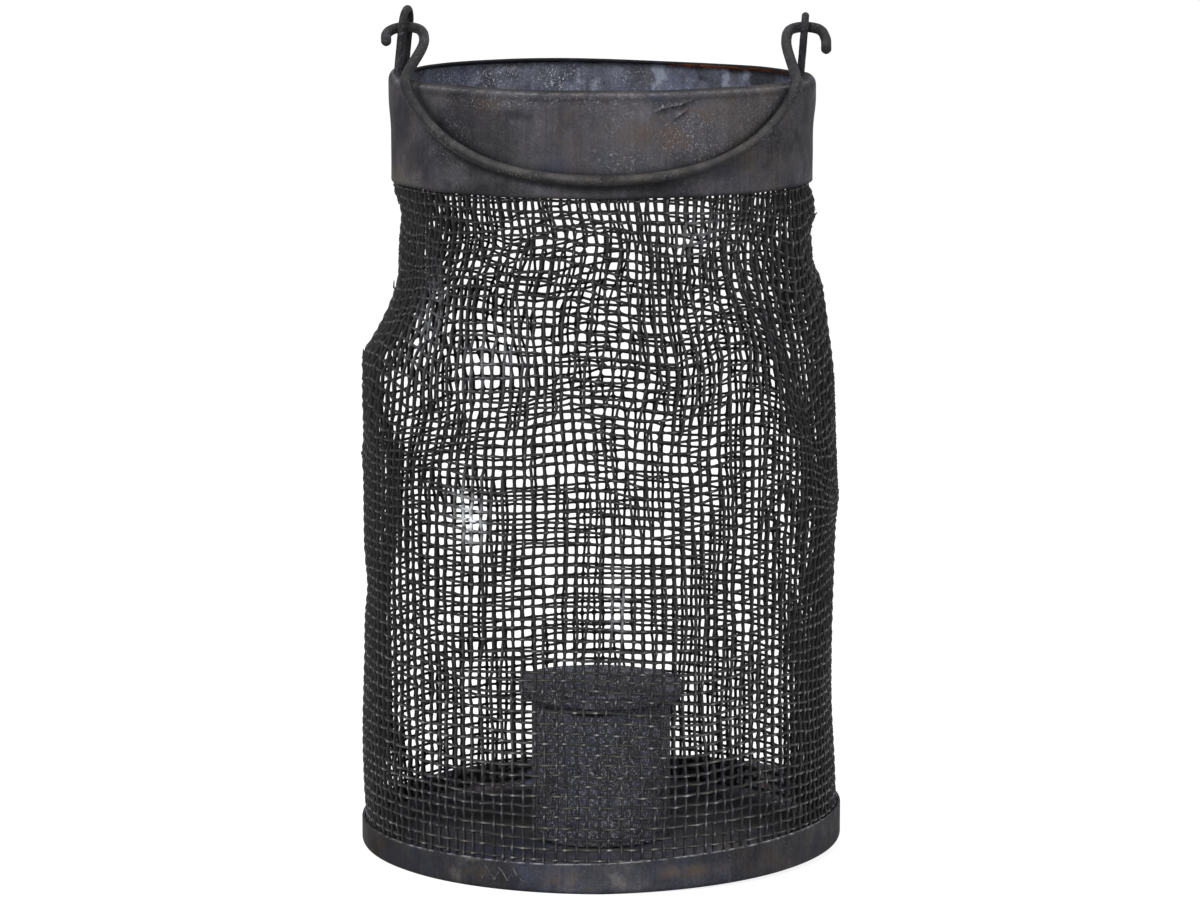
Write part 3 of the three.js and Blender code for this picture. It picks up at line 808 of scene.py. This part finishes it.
def collarZinc():
    material, tree, shader = newMaterial("collarZinc", 0.05)
    outer = useGroup(tree, patina, Dark=(0.051, 0.05, 0.058, 1), Base=(0.106, 0.101, 0.11, 1),
                     Cool=(0.066, 0.068, 0.09, 1), Brown=(0.1, 0.082, 0.07, 1), Pale=(0.34, 0.34, 0.36, 1),
                     Cloud=58.0, Cooling=0.5, Browning=0.6, Oxide=0.14, Flecks=0.6, Spread=0.42, Shift=0.4)
    colour = spottedColour(outer["Color"], [
        ("rust", 130.0, 0.5, (0.1, 0.068, 0.052, 1)),
        ("bluing", 150.0, 0.5, (0.05, 0.053, 0.083, 1)),
    ])
    # darker patina patches, and painted shade towards the sides and the foot
    colour = shadedBy(colour, raggedMask(tree, "shade", 60.0), 0.5)
    chalky = times(outer["Curl"], painted(tree, "chalk"), 0.9)
    colour = mixed(chalky, colour, (0.42, 0.42, 0.45, 1))
    # painted shade at the curl and along the lower edge, and a painted shadow along the bail
    colour = shaded(colour, mathNode("SUBTRACT", 1.0, painted(tree, "paintedShade")))
    crest = painted(tree, "crest")
    # a faint painted highlight along the crest of the curl, with wear broken by noise on it
    colour = mixed(times(crest, 0.02), colour, (0.3, 0.3, 0.31, 1))
    wear = useGroup(tree, edgeWear, Near=crest, Amount=0.35)["Mask"]
    colour = mixed(wear, colour, (0.45, 0.45, 0.46, 1))
    # painted shade and painted highlight along the folds
    for fold in collar["folds"]:
        colour = paintedFold(colour, *fold)
    inner = useGroup(tree, patina, Dark=(0.05, 0.052, 0.068, 1), Base=(0.15, 0.16, 0.21, 1),
                     Cool=(0.13, 0.15, 0.235, 1), Brown=(0.085, 0.078, 0.08, 1), Pale=(0.5, 0.53, 0.62, 1),
                     Cloud=170.0, Cooling=0.7, Browning=0.8, Oxide=0.6, Flecks=0.5, Spread=0.55, Shift=5.2)
    lining = inner["Color"]
    stains = [("smears", 0.65, (0.34, 0.38, 0.47, 1)), ("soot", 0.7, (0.028, 0.027, 0.03, 1))]
    for label, amount, tone in stains:
        spot = ranged(raggedMask(tree, label, 260.0), 0.1, 0.85)
        lining = mixed(times(spot, amount), lining, tone)
    lining = mixed(times(inner["Curl"], painted(tree, "specks")), lining, (0.6, 0.6, 0.62, 1))
    colour = mixed(painted(tree, "inside"), colour, lining)
    # painted shade on the cut edge of the curl
    colour = mixed(times(painted(tree, "lip"), 0.9), colour, (0.012, 0.012, 0.012, 1))
    colour = mixed(rustLine(tree), colour, (0.5, 0.14, 0.055, 1))
    dress(shader, colour, outer, 0.35 * mm)
    return material


# a fold in the sheet: painted shade under its line and a painted highlight above it
def paintedFold(colour, start, end, dark):
    tree = treeOf(colour)
    place = objectAxes(tree)
    slope = (end[1] - start[1]) / (end[0] - start[0])
    rise = times(mathNode("SUBTRACT", place["X"], start[0] * mm), slope)
    bent = times(noiseMask(objectPoint(tree), 180.0), collar["foldBend"])
    off = mathNode("SUBTRACT", place["Z"], mathNode("ADD", rise, start[1] * mm - collar["foldBend"] / 2))
    off = mathNode("SUBTRACT", off, bent)
    middle, reach = (start[0] + end[0]) / 2 * mm, (end[0] - start[0]) / 2 * mm
    near = ranged(apart(place["X"], middle), reach, reach * 0.4)
    near = times(near, ranged(place["Y"], *collar["foldFront"]))

    def band(low, grown, high, fading):
        return times(ranged(off, low, grown), ranged(off, high, fading), near)

    colour = shadedBy(colour, band(*collar["foldShadeBand"]), 1 - dark)
    return shadedBy(colour, band(*collar["foldHighlightBand"]), collar["foldHighlight"])


# a thin line of rust under the curl, at the back right
def rustLine(tree):
    line, at, place = collar["rustLine"], objectPoint(tree), objectAxes(tree)
    level = mathNode("ADD", times(noiseMask(at, 260.0), line["bend"]), collarHigh.z - line["drop"])
    near = ranged(apart(place["Z"], level), *line["edge"])
    broken = ranged(noiseMask(at, 240.0, detail=6.0), 0.36, 0.55)
    return times(near, broken, ranged(place["X"], *line["right"]), ranged(place["Y"], *line["back"]))


# eyes and bail: bent iron wire
eyeWire = {
    "diameter": 2.2 * mm, "bow": 4.3 * mm, "legDepth": 16 * mm, "sides": 14, "hammer": 0.05, "grain": 400,
    "legSteps": 18, "bendSteps": 20,
    "eye_left": {"side": -1, "rise": 14 * mm, "turn": -12, "lean": 6, "hook": (5.2 * mm, 8.2 * mm)},
    "eye_right": {"side": 1, "rise": 12 * mm, "turn": -2.5, "lean": -4.5, "hook": (5.6 * mm, 12.6 * mm)},
}


def eyeDistance(name):
    eye = eyeWire[name]
    low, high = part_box(name)
    # a hairpin that leans outwards is widest at its top, and one that leans inwards at its foot
    spread = max(0.0, -math.tan(math.radians(eye["lean"]))) * (eye["rise"] + eyeWire["bow"])
    across = eyeWire["bow"] * abs(math.sin(math.radians(eye["turn"])))
    edge = -low.x if eye["side"] < 0 else high.x
    return edge - eyeWire["diameter"] / 2 - max(across, spread)


def makeEye(name, material):
    eye = eyeWire[name]
    bow, rise = eyeWire["bow"], eye["rise"]
    turn, lean = math.radians(eye["turn"]), math.tan(math.radians(eye["lean"])) * -eye["side"]
    deep, steps = eyeWire["legDepth"], eyeWire["legSteps"]
    upright = [(-bow, -deep + k * (deep + rise) / steps) for k in range(steps)]
    path = upright + arcPoints((0, rise), bow, 180, 0, eyeWire["bendSteps"])
    path += [(-y, z) for y, z in upright[::-1]]
    points = []
    for y, z in path:
        x = lean * max(0.0, z)
        points.append(Vector((
            eye["side"] * eyeDistance(name) + x * math.cos(turn) - y * math.sin(turn),
            x * math.sin(turn) + y * math.cos(turn),
            collarHigh.z + z,
        )))
    shape = wireAlong(points, hammeredRadii(points, eyeWire), eyeWire["sides"])
    seat(makePiece(name + "_wire", *shape, material, 60), "lantern", "iron_wire", name)


bail = {
    "diameter": 3 * mm, "drop": 24.2 * mm, "standOff": 0.7 * mm, "gap": 0.3 * mm, "straightShare": 0.55,
    "saddleAngle": 24, "saddleInset": 1 * mm, "saddleLift": 0.4 * mm, "saddleRun": 6, "saddleFall": 3 * mm,
    "hookRound": 1.5 * mm, "crookReach": 5.4 * mm, "crookLength": 8 * mm,
    "frontPoints": 7, "perSpan": 12, "sides": 16, "hammer": 0.035, "grain": 160,
    # the wire is rubbed paler towards the front, with a painted highlight on its upper side
    "rubbedAndLit": (30 * mm, 56 * mm),  # how far forward the wire is rubbed paler
}


# heights from the pivot: of the saddle, where the bail crosses the shoulder, and of its run round the front
def saddleHeight():
    curl = collar["curl"]
    reach = curl + bail["diameter"] / 2 + bail["gap"] + bail["saddleLift"]
    return math.sqrt(reach**2 - (curl - bail["saddleInset"]) ** 2) - curl - pivot.z + collarHigh.z


def bailHeight(angle):
    start = math.radians(bail["saddleAngle"] + bail["saddleRun"])
    lowest, highest = collarHigh.z - pivot.z - bail["drop"], saddleHeight() - bail["saddleFall"]
    short = (1 - math.sin(angle)) / (1 - math.sin(start))
    share = bail["straightShare"] * short + (1 - bail["straightShare"]) * short**2
    return lowest + (highest - lowest) * share


def bailHalf(name):
    eye = eyeWire[name]
    toEye = eyeDistance(name) - math.tan(math.radians(eye["lean"])) * (pivot.z - collarHigh.z)
    saddleRadius, saddleRise = collarHigh.x - bail["saddleInset"], saddleHeight()
    saddle = math.radians(bail["saddleAngle"])
    forward = saddleRadius * math.sin(saddle)
    lean = Vector((0, -forward, saddleRise)).normalized()
    out, length = eye["hook"]
    into, bend = bail["crookReach"], bail["hookRound"]
    hook = [
        (out, length), (out, length / 2), (out - bend, bend), (0, 0), (bend - into, bend),
        (-into, bail["crookLength"]),
    ]
    points = [Vector((toEye + x, 0, 0)) + lean * along for x, along in hook]
    points.append(Vector((saddleRadius * math.cos(saddle), -forward, saddleRise)))
    run = collarHigh.x + bail["diameter"] / 2 + bail["gap"] + bail["standOff"]
    start = saddle + math.radians(bail["saddleRun"])
    for k in range(bail["frontPoints"] + 1):
        angle = start + (math.pi / 2 - start) * k / bail["frontPoints"]
        points.append(Vector((run * math.cos(angle), -run * math.sin(angle), bailHeight(angle))))
    return points


def makeBail(material):
    left = [Vector((-p.x, p.y, p.z)) for p in bailHalf("eye_left")]
    right = bailHalf("eye_right")[::-1][1:]
    points = [p + Vector((0, 0, pivot.z)) for p in smoothRun(left + right, bail["perSpan"])]
    shape = wireAlong(points, hammeredRadii(points, bail), bail["sides"])
    piece = makePiece("bailWire", *shape, material, 60)
    # rubbed paler at the front, with a painted highlight where the wire faces up
    paint(piece, "rubAndHighlight", lambda co, n: smoothStep(-co.y, *bail["rubbedAndLit"]) * smoothStep(n.z - n.y, 0.6, 1.4))
    seat(piece, "bail", "iron_wire", "bail")


def bentIron():
    material, tree, shader = newMaterial("bentIron", 0.16)
    finish = useGroup(tree, patina, Dark=(0.01, 0.01, 0.012, 1), Base=(0.026, 0.026, 0.029, 1),
                      Cool=(0.024, 0.026, 0.036, 1), Brown=(0.034, 0.027, 0.021, 1),
                      Pale=(0.24, 0.24, 0.25, 1), Cloud=200.0, Cooling=0.5, Browning=0.5, Oxide=0.2,
                      Flecks=0.6, Spread=0.5, Shift=2.2)
    # a paler rubbed band at the front of the bail, with a painted highlight on its upper side
    rubbedAndLit = ranged(noiseMask(objectPoint(tree), 160.0, detail=5.0), 0.3, 0.6)
    rubbedAndLit = times(painted(tree, "rubAndHighlight"), rubbedAndLit, 0.6)
    colour = mixed(rubbedAndLit, finish["Color"], (0.135, 0.128, 0.122, 1))
    dress(shader, colour, finish, 0.25 * mm)
    return material


# woven sleeve: every wire of the cloth, over and under, on the dented wall of the solids
cloth = {
    "warps": 140, "wefts": 68, "warpWire": 0.91 * mm, "weftWire": 0.87 * mm, "sides": 6, "seed": 20,
    "phase": 0.75,  # of the first warp, as a share of the pitch
    "slim": 0.9, "deep": 1.4,  # thickness of the wires between their crossings, and through the cloth
    # the tones scale the painted highlight and the specks on each wire, and crown sets how much that
    # highlight follows the bends
    "tones": (0.3, 1.0), "crown": 0.15,  # range of the wires' own tones, and how much their bends show
    "warpLift": 0.22 * mm, "weftLift": 0.32 * mm,  # how far the wires bend out and in
    "web": (0.35, 0.28 * mm),  # share of the pitch that the zinc in the crossings reaches, and its thickness
    "stray": 0.1 * mm, "drift": 0.18 * mm, "kink": 0.14 * mm, "jitter": 0.03 * mm, "crooked": 1.5,
    "driftRun": (9, 12), "kinkRun": 2,  # crossings on each side that drift and kinks are evened over
    "crumple": 1.4 * mm, "pull": 1.3 * mm, "sag": 1.6 * mm,  # in the beaten upper part
    "crumpleMix": (0.55, 0.5), "sideCrumple": 0.3,  # of its field and inwards, and the share at the sides
    # least share of that, the heights between which it grows, and the calm bands at the foot and the neck
    "calm": 0.25, "beaten": (92 * mm, 138 * mm), "footCalm": (2 * mm, 30 * mm), "neckCalm": (16 * mm, 1 * mm),
    # least strength of the painted highlight on wefts and warps up high, and the heights below which it grows
    # stronger
    "least": (0.1, 0.28), "highlightLow": (38 * mm, 78 * mm),  # rubbed tone of wefts and warps, and its heights
    # how much stronger the painted highlight and the specks are on the right
    "rightHighlight": 0.3,  # how much paler the wires are on the right
    "inset": 1.1 * mm,  # from the insides of the collar and the tray to the middle of the cloth
    "footLap": 5.5 * mm, "neckLap": 8 * mm, "footEase": (2 * mm, 10 * mm), "neckEase": (6 * mm, 2 * mm),
    "flareDrop": (25 * mm, 6 * mm), "flareLength": (28 * mm, 62 * mm), "margin": 6 * mm,
    # angle, height, depth, width and length of each dent or swell
    "dents": [
        (180, 182, -0.9, 24, 6), (180, 160, -1.5, 24, 16), (180, 149, -1, 20, 7), (180, 134, 0.9, 26, 12),
        (182, 75, -0.9, 12, 5), (180, 30, 0.8, 30, 12), (0, 180, 1.4, 24, 9), (0, 156, 0.8, 22, 6),
        (0, 130, -0.9, 28, 10), (0, 66, -1.2, 30, 24), (8, 44, -0.9, 24, 16), (-112, 152, -4.2, 15, 15),
        (-62, 162, -2.6, 13, 12), (-85, 118, -1.8, 17, 20), (70, 150, -3.4, 18, 17), (128, 112, -2.2, 16, 22),
        (0, 186, 0.6, 9, 2), (2, 180.5, 0.9, 9, 2.2), (-2, 175.5, -0.6, 9, 2), (0, 168, -0.7, 10, 3),
        (1, 161, 0.5, 9, 2), (180, 187, 0.7, 9, 2), (179, 181, -0.5, 9, 2.5), (181, 141, 0.8, 10, 2.5),
        (180, 112, 0.5, 9, 3), (0, 100, 0.6, 9, 3),
    ],
    # angle, height, width, length and share of each place where the wires are pushed together, or apart
    "pinches": [
        (-47, 165, 24, 24, 0.19), (-83, 156, 12, 10, 0.33), (38, 150, 24, 24, 0.2), (140, 160, 24, 24, 0.18),
        (-32, 120, 18, 20, 0.42), (-21, 177, 16, 12, 0.18), (38, 175, 22, 16, 0.2), (-124, 56, 11, 10, 0.26),
        (109, 103, 20, 14, -0.16), (-12, 97, 21, 18, 0.5), (168, 152, 25, 21, -0.15),
        (148, 101, 21, 21, 0.27),
    ],
    # angle, height, width, length and share of the place where the upright wires are gathered
    "gather": (180, 75, 30, 60, 0.45),
    # angle and height of each loose end, and how far it stands out, up and round
    "looseEnds": [
        (178, 158.2, 1.7, 2.6, 0.2), (184, 141, 1.1, 1.2, -0.5), (178, 188, 1.0, 0.7, 0.5),
        (182, 184.5, 0.9, -0.7, 0.3), (2, 180, 1.1, 0.8, -0.5), (-3, 176.5, 0.9, 1.0, 0.4),
        (0, 150, 0.8, 0.9, 0.3), (183, 112, 0.9, 1.0, 0.4), (179, 76, 0.8, -0.8, 0.4),
        (1, 98, 0.8, 0.8, -0.3), (95, 170, 1.2, 1.5, 0.5), (60, 142, 1.0, -1.0, 0.5),
        (130, 186, 1.0, 0.8, -0.5), (-58, 187, 0.9, 0.8, 0.5), (-120, 186, 0.9, -0.6, 0.6),
        (20, 60, 0.9, 0.9, 0.4),
    ],
    "looseRadii": (0.34 * mm, 0.28 * mm, 0.15 * mm), "looseRoot": 0.4 * mm,
    "looseBend": (0.7, 0.3),  # shares of a loose end's reach outwards, and up and round, at its bend
    # angle, height, width, length and amount of the chalky spots
    "chalk": [
        (-122, 102, 3.4, 5, 1.1), (-123, 105, 6, 7, 0.35), (-64, 181, 8, 5, 0.12), (-86, 80, 2.5, 9, 0.3),
        (-142, 154, 9, 12, 0.12), (-120, 146, 9, 8, 0.14),
    ],
}


# a smooth random field over the cloth, made of waves that close round it
def makeRipple(seed, shortest, longest, count=16):
    rng = np.random.default_rng(seed)
    reach = trayHigh.x
    waves = []
    for _ in range(count):
        length = rng.uniform(shortest, longest)
        slant = rng.uniform(0, np.pi)
        turns = round(2 * np.pi * reach / length * np.cos(slant))
        waves.append((turns, 2 * np.pi / length * np.sin(slant), rng.uniform(0, 2 * np.pi)))

    def field(angle, height):
        return sum(np.sin(t * angle + k * height + p) for t, k, p in waves) * math.sqrt(2 / count)

    return field


crumpleField = makeRipple(3, 22 * mm, 60 * mm)
pullField = makeRipple(11, 34 * mm, 80 * mm)
sagField = makeRipple(49, 34 * mm, 80 * mm)


def beatenShare(height):
    share = cloth["calm"] + (1 - cloth["calm"]) * smoothStep(height, *cloth["beaten"])
    share = share * smoothStep(height, *(trayHigh.z + v for v in cloth["footCalm"]))
    return share * (1 - smoothStep(height, *(collarLow.z - v for v in cloth["neckCalm"])))


# the turn from a given angle, the short way round
def turnFrom(angle, turn):
    return np.angle(np.exp(1j * (angle - math.radians(turn))))


# how far round and up from a place, and a soft spot about it
def softSpot(angle, height, turn, level, width, tall):
    away, rise = turnFrom(angle, turn) * trayHigh.x, height - level * mm
    return away, rise, np.exp(-((away / width / mm) ** 2) - (rise / tall / mm) ** 2)


def clothRadius(angle, height):
    neck = collarHigh.x - collar["sheet"] - cloth["inset"]
    foot = trayHigh.x - tray["sheet"] - cloth["inset"]
    right = (1 + np.cos(angle)) / 2
    drop, length = (a * (1 - right) + b * right for a, b in (cloth["flareDrop"], cloth["flareLength"]))
    body = neck + (foot - neck) * smoothStep((collarLow.z - drop - height) / length, 0, 1)
    fade = smoothStep(height, trayHigh.z, trayHigh.z + cloth["margin"])
    fade = fade * (1 - smoothStep(height, collarLow.z - cloth["margin"], collarLow.z))
    beaten = np.zeros_like(body)
    for turn, level, depth, width, tall in cloth["dents"]:
        across, along = turnFrom(angle, turn) * foot / (width * mm), (height - level * mm) / (tall * mm)
        beaten = beaten + depth * mm * np.exp(-(across**2 + along**2) / 2)
    waves, inwards = cloth["crumpleMix"]
    creased = beatenShare(height) * cloth["crumple"] * (waves * crumpleField(angle, height) - inwards)
    sides = cloth["sideCrumple"]
    return body + fade * beaten + creased * (sides + (1 - sides) * np.sin(angle) ** 2)


def clothFrames(angle, height):
    def at(a, h):
        r = clothRadius(a, h)
        return np.stack([r * np.cos(a), r * np.sin(a), h], axis=-1)

    def unit(v):
        return v / np.linalg.norm(v, axis=-1, keepdims=True)

    turn, lift = 1e-3, 1e-4
    around = unit(at(angle + turn, height) - at(angle - turn, height))
    up = unit(at(angle, height + lift) - at(angle, height - lift))
    return at(angle, height), unit(np.cross(around, up)), around, up


# random values evened out along one axis, with a spread of about one
def evened(rng, shape, axis, width):
    values = rng.normal(size=shape)
    total = sum(np.roll(values, k, axis) for k in range(-width, width + 1))
    return total / math.sqrt(2 * width + 1)


# where the wires cross: the angle and height of each crossing
def clothGrid(rng):
    shape = warps, wefts = cloth["warps"], cloth["wefts"]
    heights = np.linspace(trayHigh.z - cloth["footLap"], collarLow.z + cloth["neckLap"], wefts)
    angle = (np.arange(warps)[:, None] + cloth["phase"]) * 2 * np.pi / warps + np.zeros(shape)
    height = heights[None, :] + np.zeros(shape)
    share = beatenShare(height)
    kink = cloth["kink"] * (1 + cloth["crooked"] * share)
    jitter = cloth["jitter"] * (1 + 3 * cloth["crooked"] * share)
    moves = []
    for axis, run, single in zip((1, 0), cloth["driftRun"], ((warps, 1), (1, wefts))):
        move = evened(rng, shape, axis, run) * cloth["drift"] + rng.normal(size=shape) * jitter
        move = move + rng.normal(size=single) * cloth["stray"]
        moves.append(move + evened(rng, shape, axis, cloth["kinkRun"]) * kink)
    sideways, upwards = moves
    for *place, amount in cloth["pinches"]:
        away, rise, near = softSpot(angle, height, *place)
        sideways, upwards = sideways - away * amount * near, upwards - rise * amount * near
    *place, amount = cloth["gather"]
    away, rise, near = softSpot(angle, height, *place)
    sideways = sideways - away * amount * near
    under, over = cloth["footEase"]
    ease = smoothStep(height, trayHigh.z - under, trayHigh.z + over)
    under, over = cloth["neckEase"]
    ease = ease * (1 - smoothStep(height, collarLow.z - under, collarLow.z + over))
    moved = height + ease * (upwards + cloth["sag"] * share * sagField(angle, height))
    pulled = sideways + cloth["pull"] * share * pullField(angle, height)
    return angle + pulled / clothRadius(angle, height), moved


def withMiddles(values):
    filled = np.empty((values.shape[0], 2 * values.shape[1] - 1))
    filled[:, ::2] = values
    filled[:, 1::2] = (values[:, 1:] + values[:, :-1]) / 2
    return filled


def chalkAmount(angle, height):
    most = np.zeros_like(angle)
    for *place, amount in cloth["chalk"]:
        most = np.maximum(most, amount * softSpot(angle, height, *place)[2])
    return most


# wires through rows of crossings; over is the side of the wall that each passes on, from -1 to 1
def makeWires(name, angle, height, over, diameter, tone, upright, material):
    rows, steps = over.shape
    sides = cloth["sides"]
    points, out, around, up = clothFrames(angle, height)
    side, lift = (around, cloth["warpLift"]) if upright else (up, cloth["weftLift"])
    turns = 2 * np.pi * np.arange(sides) / sides
    radius = diameter / 2 * (cloth["slim"] + (1 - cloth["slim"]) * np.abs(over))
    centre = points + out * (over * lift)[..., None]
    spokes = out[:, :, None] * (cloth["deep"] * np.cos(turns))[:, None]
    spokes = spokes + side[:, :, None] * np.sin(turns)[:, None]
    verts = (centre[:, :, None] + radius[..., None, None] * spokes).reshape(-1, 3)
    index = np.arange(rows * steps * sides).reshape(rows, steps, sides)
    piece = makePiece(name, verts.tolist(), tubeFaces(index, not upright), material, 80)
    # crown: where the painted highlight lies round each wire; knot: the tops of the crossings, for the specks
    crown = cloth["crown"] * over[:, :, None] + (1 - cloth["crown"]) * np.cos(turns)
    knot = np.clip(over[:, :, None], 0, 1) * np.cos(turns)
    # the painted highlight and the specks on the wires are stronger low down and on the right
    least = cloth["least"][upright] + cloth["rightHighlight"] * np.clip(np.cos(angle), 0, 1) ** 4
    rubbedAndLit = tone[:, None] * (least + (1 - least) * (1 - smoothStep(height, *cloth["highlightLow"])))
    chalk = chalkAmount(angle, height)
    wornAndLit = {"crown": crown, "knot": knot, "tone": rubbedAndLit[..., None], "chalk": chalk[..., None]}
    for label, values in wornAndLit.items():
        attribute = piece.data.attributes.new(label, "FLOAT", "POINT")
        attribute.data.foreach_set("value", np.clip(np.broadcast_to(values, index.shape), 0, 1).ravel())
    return piece


def makeCloth():
    warps, wefts = cloth["warps"], cloth["wefts"]
    rng = np.random.default_rng(cloth["seed"])
    angle, height = clothGrid(rng)
    over = np.where((np.arange(warps)[:, None] + np.arange(wefts)) % 2, 1.0, -1.0)
    warpTone, weftTone = (rng.uniform(*cloth["tones"], count) for count in (warps, wefts))
    upright, level = clothWire("warpWire", True), clothWire("weftWire", False)
    makeLooseEnds(upright)
    makeWebs(angle, height, upright)
    # warps in a back and a front half
    half = warps // 2
    for name, rows, nodes in (("warpsBack", slice(0, half), warpNodes[: len(warpNodes) // 2]),
                              ("warpsFront", slice(half, warps), warpNodes[len(warpNodes) // 2 :])):
        runs = [withMiddles(v[rows]) for v in (angle, height, over)]
        piece = makeWires(name, *runs, cloth["warpWire"], warpTone[rows], True, upright)
        seat(piece, "lantern", "mesh_wire", *nodes)
    # wefts in a low and a high half, each closed into a ring
    angle = np.vstack([angle, angle[:1] + 2 * np.pi]).T
    height = np.vstack([height, height[:1]]).T
    over = -np.vstack([over, over[:1]]).T
    half = wefts // 2
    for name, rows, nodes in (("weftsLow", slice(0, half), weftNodes[: len(weftNodes) // 2]),
                              ("weftsHigh", slice(half, wefts), weftNodes[len(weftNodes) // 2 :])):
        runs = [withMiddles(v[rows])[:, :-1] for v in (angle, height, over)]
        piece = makeWires(name, *runs, cloth["weftWire"], weftTone[rows], False, level)
        seat(piece, "lantern", "mesh_wire", *nodes)


# zinc that rounds the corners of the openings
def makeWebs(angle, height, material):
    share, thick = cloth["web"]
    points, out, around, up = clothFrames(angle, height)
    across = (np.roll(points, -1, 0) - np.roll(points, 1, 0)) * share / 2
    along = np.gradient(points, axis=1) * share
    tips = [across, along, -across, -along, out * thick, -out * thick]
    verts = (points[:, :, None] + np.stack(tips, axis=2)).reshape(-1, 3)
    sides = np.array([(0, 1, 4), (1, 2, 4), (2, 3, 4), (3, 0, 4), (1, 0, 5), (2, 1, 5), (3, 2, 5), (0, 3, 5)])
    faces = (np.arange(0, len(verts), 6)[:, None, None] + sides).reshape(-1, 3)
    seat(makePiece("zincWebs", verts.tolist(), faces.tolist(), material, 80), "lantern", "mesh_wire")


# cut ends of wire that stand out of the cloth
def makeLooseEnds(material):
    verts, faces = [], []
    for turn, level, outwards, upwards, sideways in cloth["looseEnds"]:
        place = np.array(math.radians(turn)), np.array(level * mm)
        point, out, around, up = (Vector(v) for v in clothFrames(*place))
        tip = point + (out * outwards + up * upwards + around * sideways) * mm
        far, near = cloth["looseBend"]
        bend = point + (out * outwards * far + up * upwards * near + around * sideways * near) * mm
        root = point - out * cloth["looseRoot"]
        some, more = wireAlong([root, bend, tip], cloth["looseRadii"], cloth["sides"])
        faces += [[k + len(verts) for k in face] for face in more]
        verts += some
    seat(makePiece("looseEnds", verts, faces, material, 60), "lantern", "mesh_wire")


def clothWire(name, upright):
    material, tree, shader = newMaterial(name, 0.1)
    # tint of the painted highlight, and amount of the specks
    highlightTint, wear = ((0.135, 0.135, 0.143, 1), 0.5) if upright else ((0.265, 0.246, 0.226, 1), 0.85)
    finish = useGroup(tree, wireFinish, Tint=highlightTint, Wear=wear)
    dress(shader, finish["Color"], finish, 0.08 * mm)
    return material


# pale floor, backdrop and soft light
stage = {"floor": 60.0, "tone": 0.42, "lift": 0.86, "world": 0.36}


def makeStage():
    half = stage["floor"] / 2
    corners = [(-half, -half, 0), (half, -half, 0), (half, half, 0), (-half, half, 0)]
    material = bpy.data.materials.new("paleFloor")
    material.use_nodes = True
    tree = material.node_tree
    tree.nodes.clear()
    matte = addNode(tree, "ShaderNodeBsdfDiffuse", {"Color": (stage["tone"],) * 3 + (1,)}).outputs[0]
    strength = times(shownRay(tree), stage["lift"])
    glow = addNode(tree, "ShaderNodeEmission", {"Strength": strength}).outputs[0]
    both = addNode(tree, "ShaderNodeAddShader", {0: matte, 1: glow}).outputs[0]
    addNode(tree, "ShaderNodeOutputMaterial", {"Surface": both})
    makePiece("floor", corners, [[0, 1, 2, 3]], material)
    world = bpy.data.worlds.new("world")
    bpy.context.scene.world = world
    world.use_nodes = True
    tree = world.node_tree
    back = tree.nodes["Background"]
    back.inputs["Color"].default_value = (1, 1, 1, 1)
    tree.links.new(ranged(shownRay(tree), 0.0, 1.0, stage["world"], 1.0), back.inputs["Strength"])


# rays that show the backdrop as white: straight from the camera, mirrored or through glass
def shownRay(tree):
    path = addNode(tree, "ShaderNodeLightPath").outputs
    seen = mathNode("MAXIMUM", path["Is Camera Ray"], path["Is Glossy Ray"])
    return mathNode("MAXIMUM", seen, path["Is Transmission Ray"])


lamps = {
    "key": {"place": (-0.45, -1.35, 1.0), "size": 0.5, "power": 17.0},
    "fill": {"place": (0.9, -1.0, 0.55), "size": 0.7, "power": 4.0},
    "top": {"place": (0.1, 0.35, 1.2), "size": 0.5, "power": 3.0},
}


def makeLamps():
    aim = Vector((0, 0, 0.12))
    for name, lamp in lamps.items():
        data = bpy.data.lights.new(name, "AREA")
        data.size, data.energy = lamp["size"], lamp["power"]
        light = bpy.data.objects.new(name, data)
        light.location = lamp["place"]
        light.rotation_euler = (aim - light.location).to_track_quat("-Z", "Y").to_euler()
        bpy.context.collection.objects.link(light)


makeCamera()
makeTray()
socketFinish = socketZinc()
makeSocket(socketFinish)
makeRing(socketFinish)
print("base made")
makeCloth()
print("cloth made")
makeCollar()
iron = bentIron()
makeEye("eye_left", iron)
makeEye("eye_right", iron)
makeBail(iron)
print("top made")
makeStage()
makeLamps()
bpy.context.scene.view_settings.view_transform = "Standard"
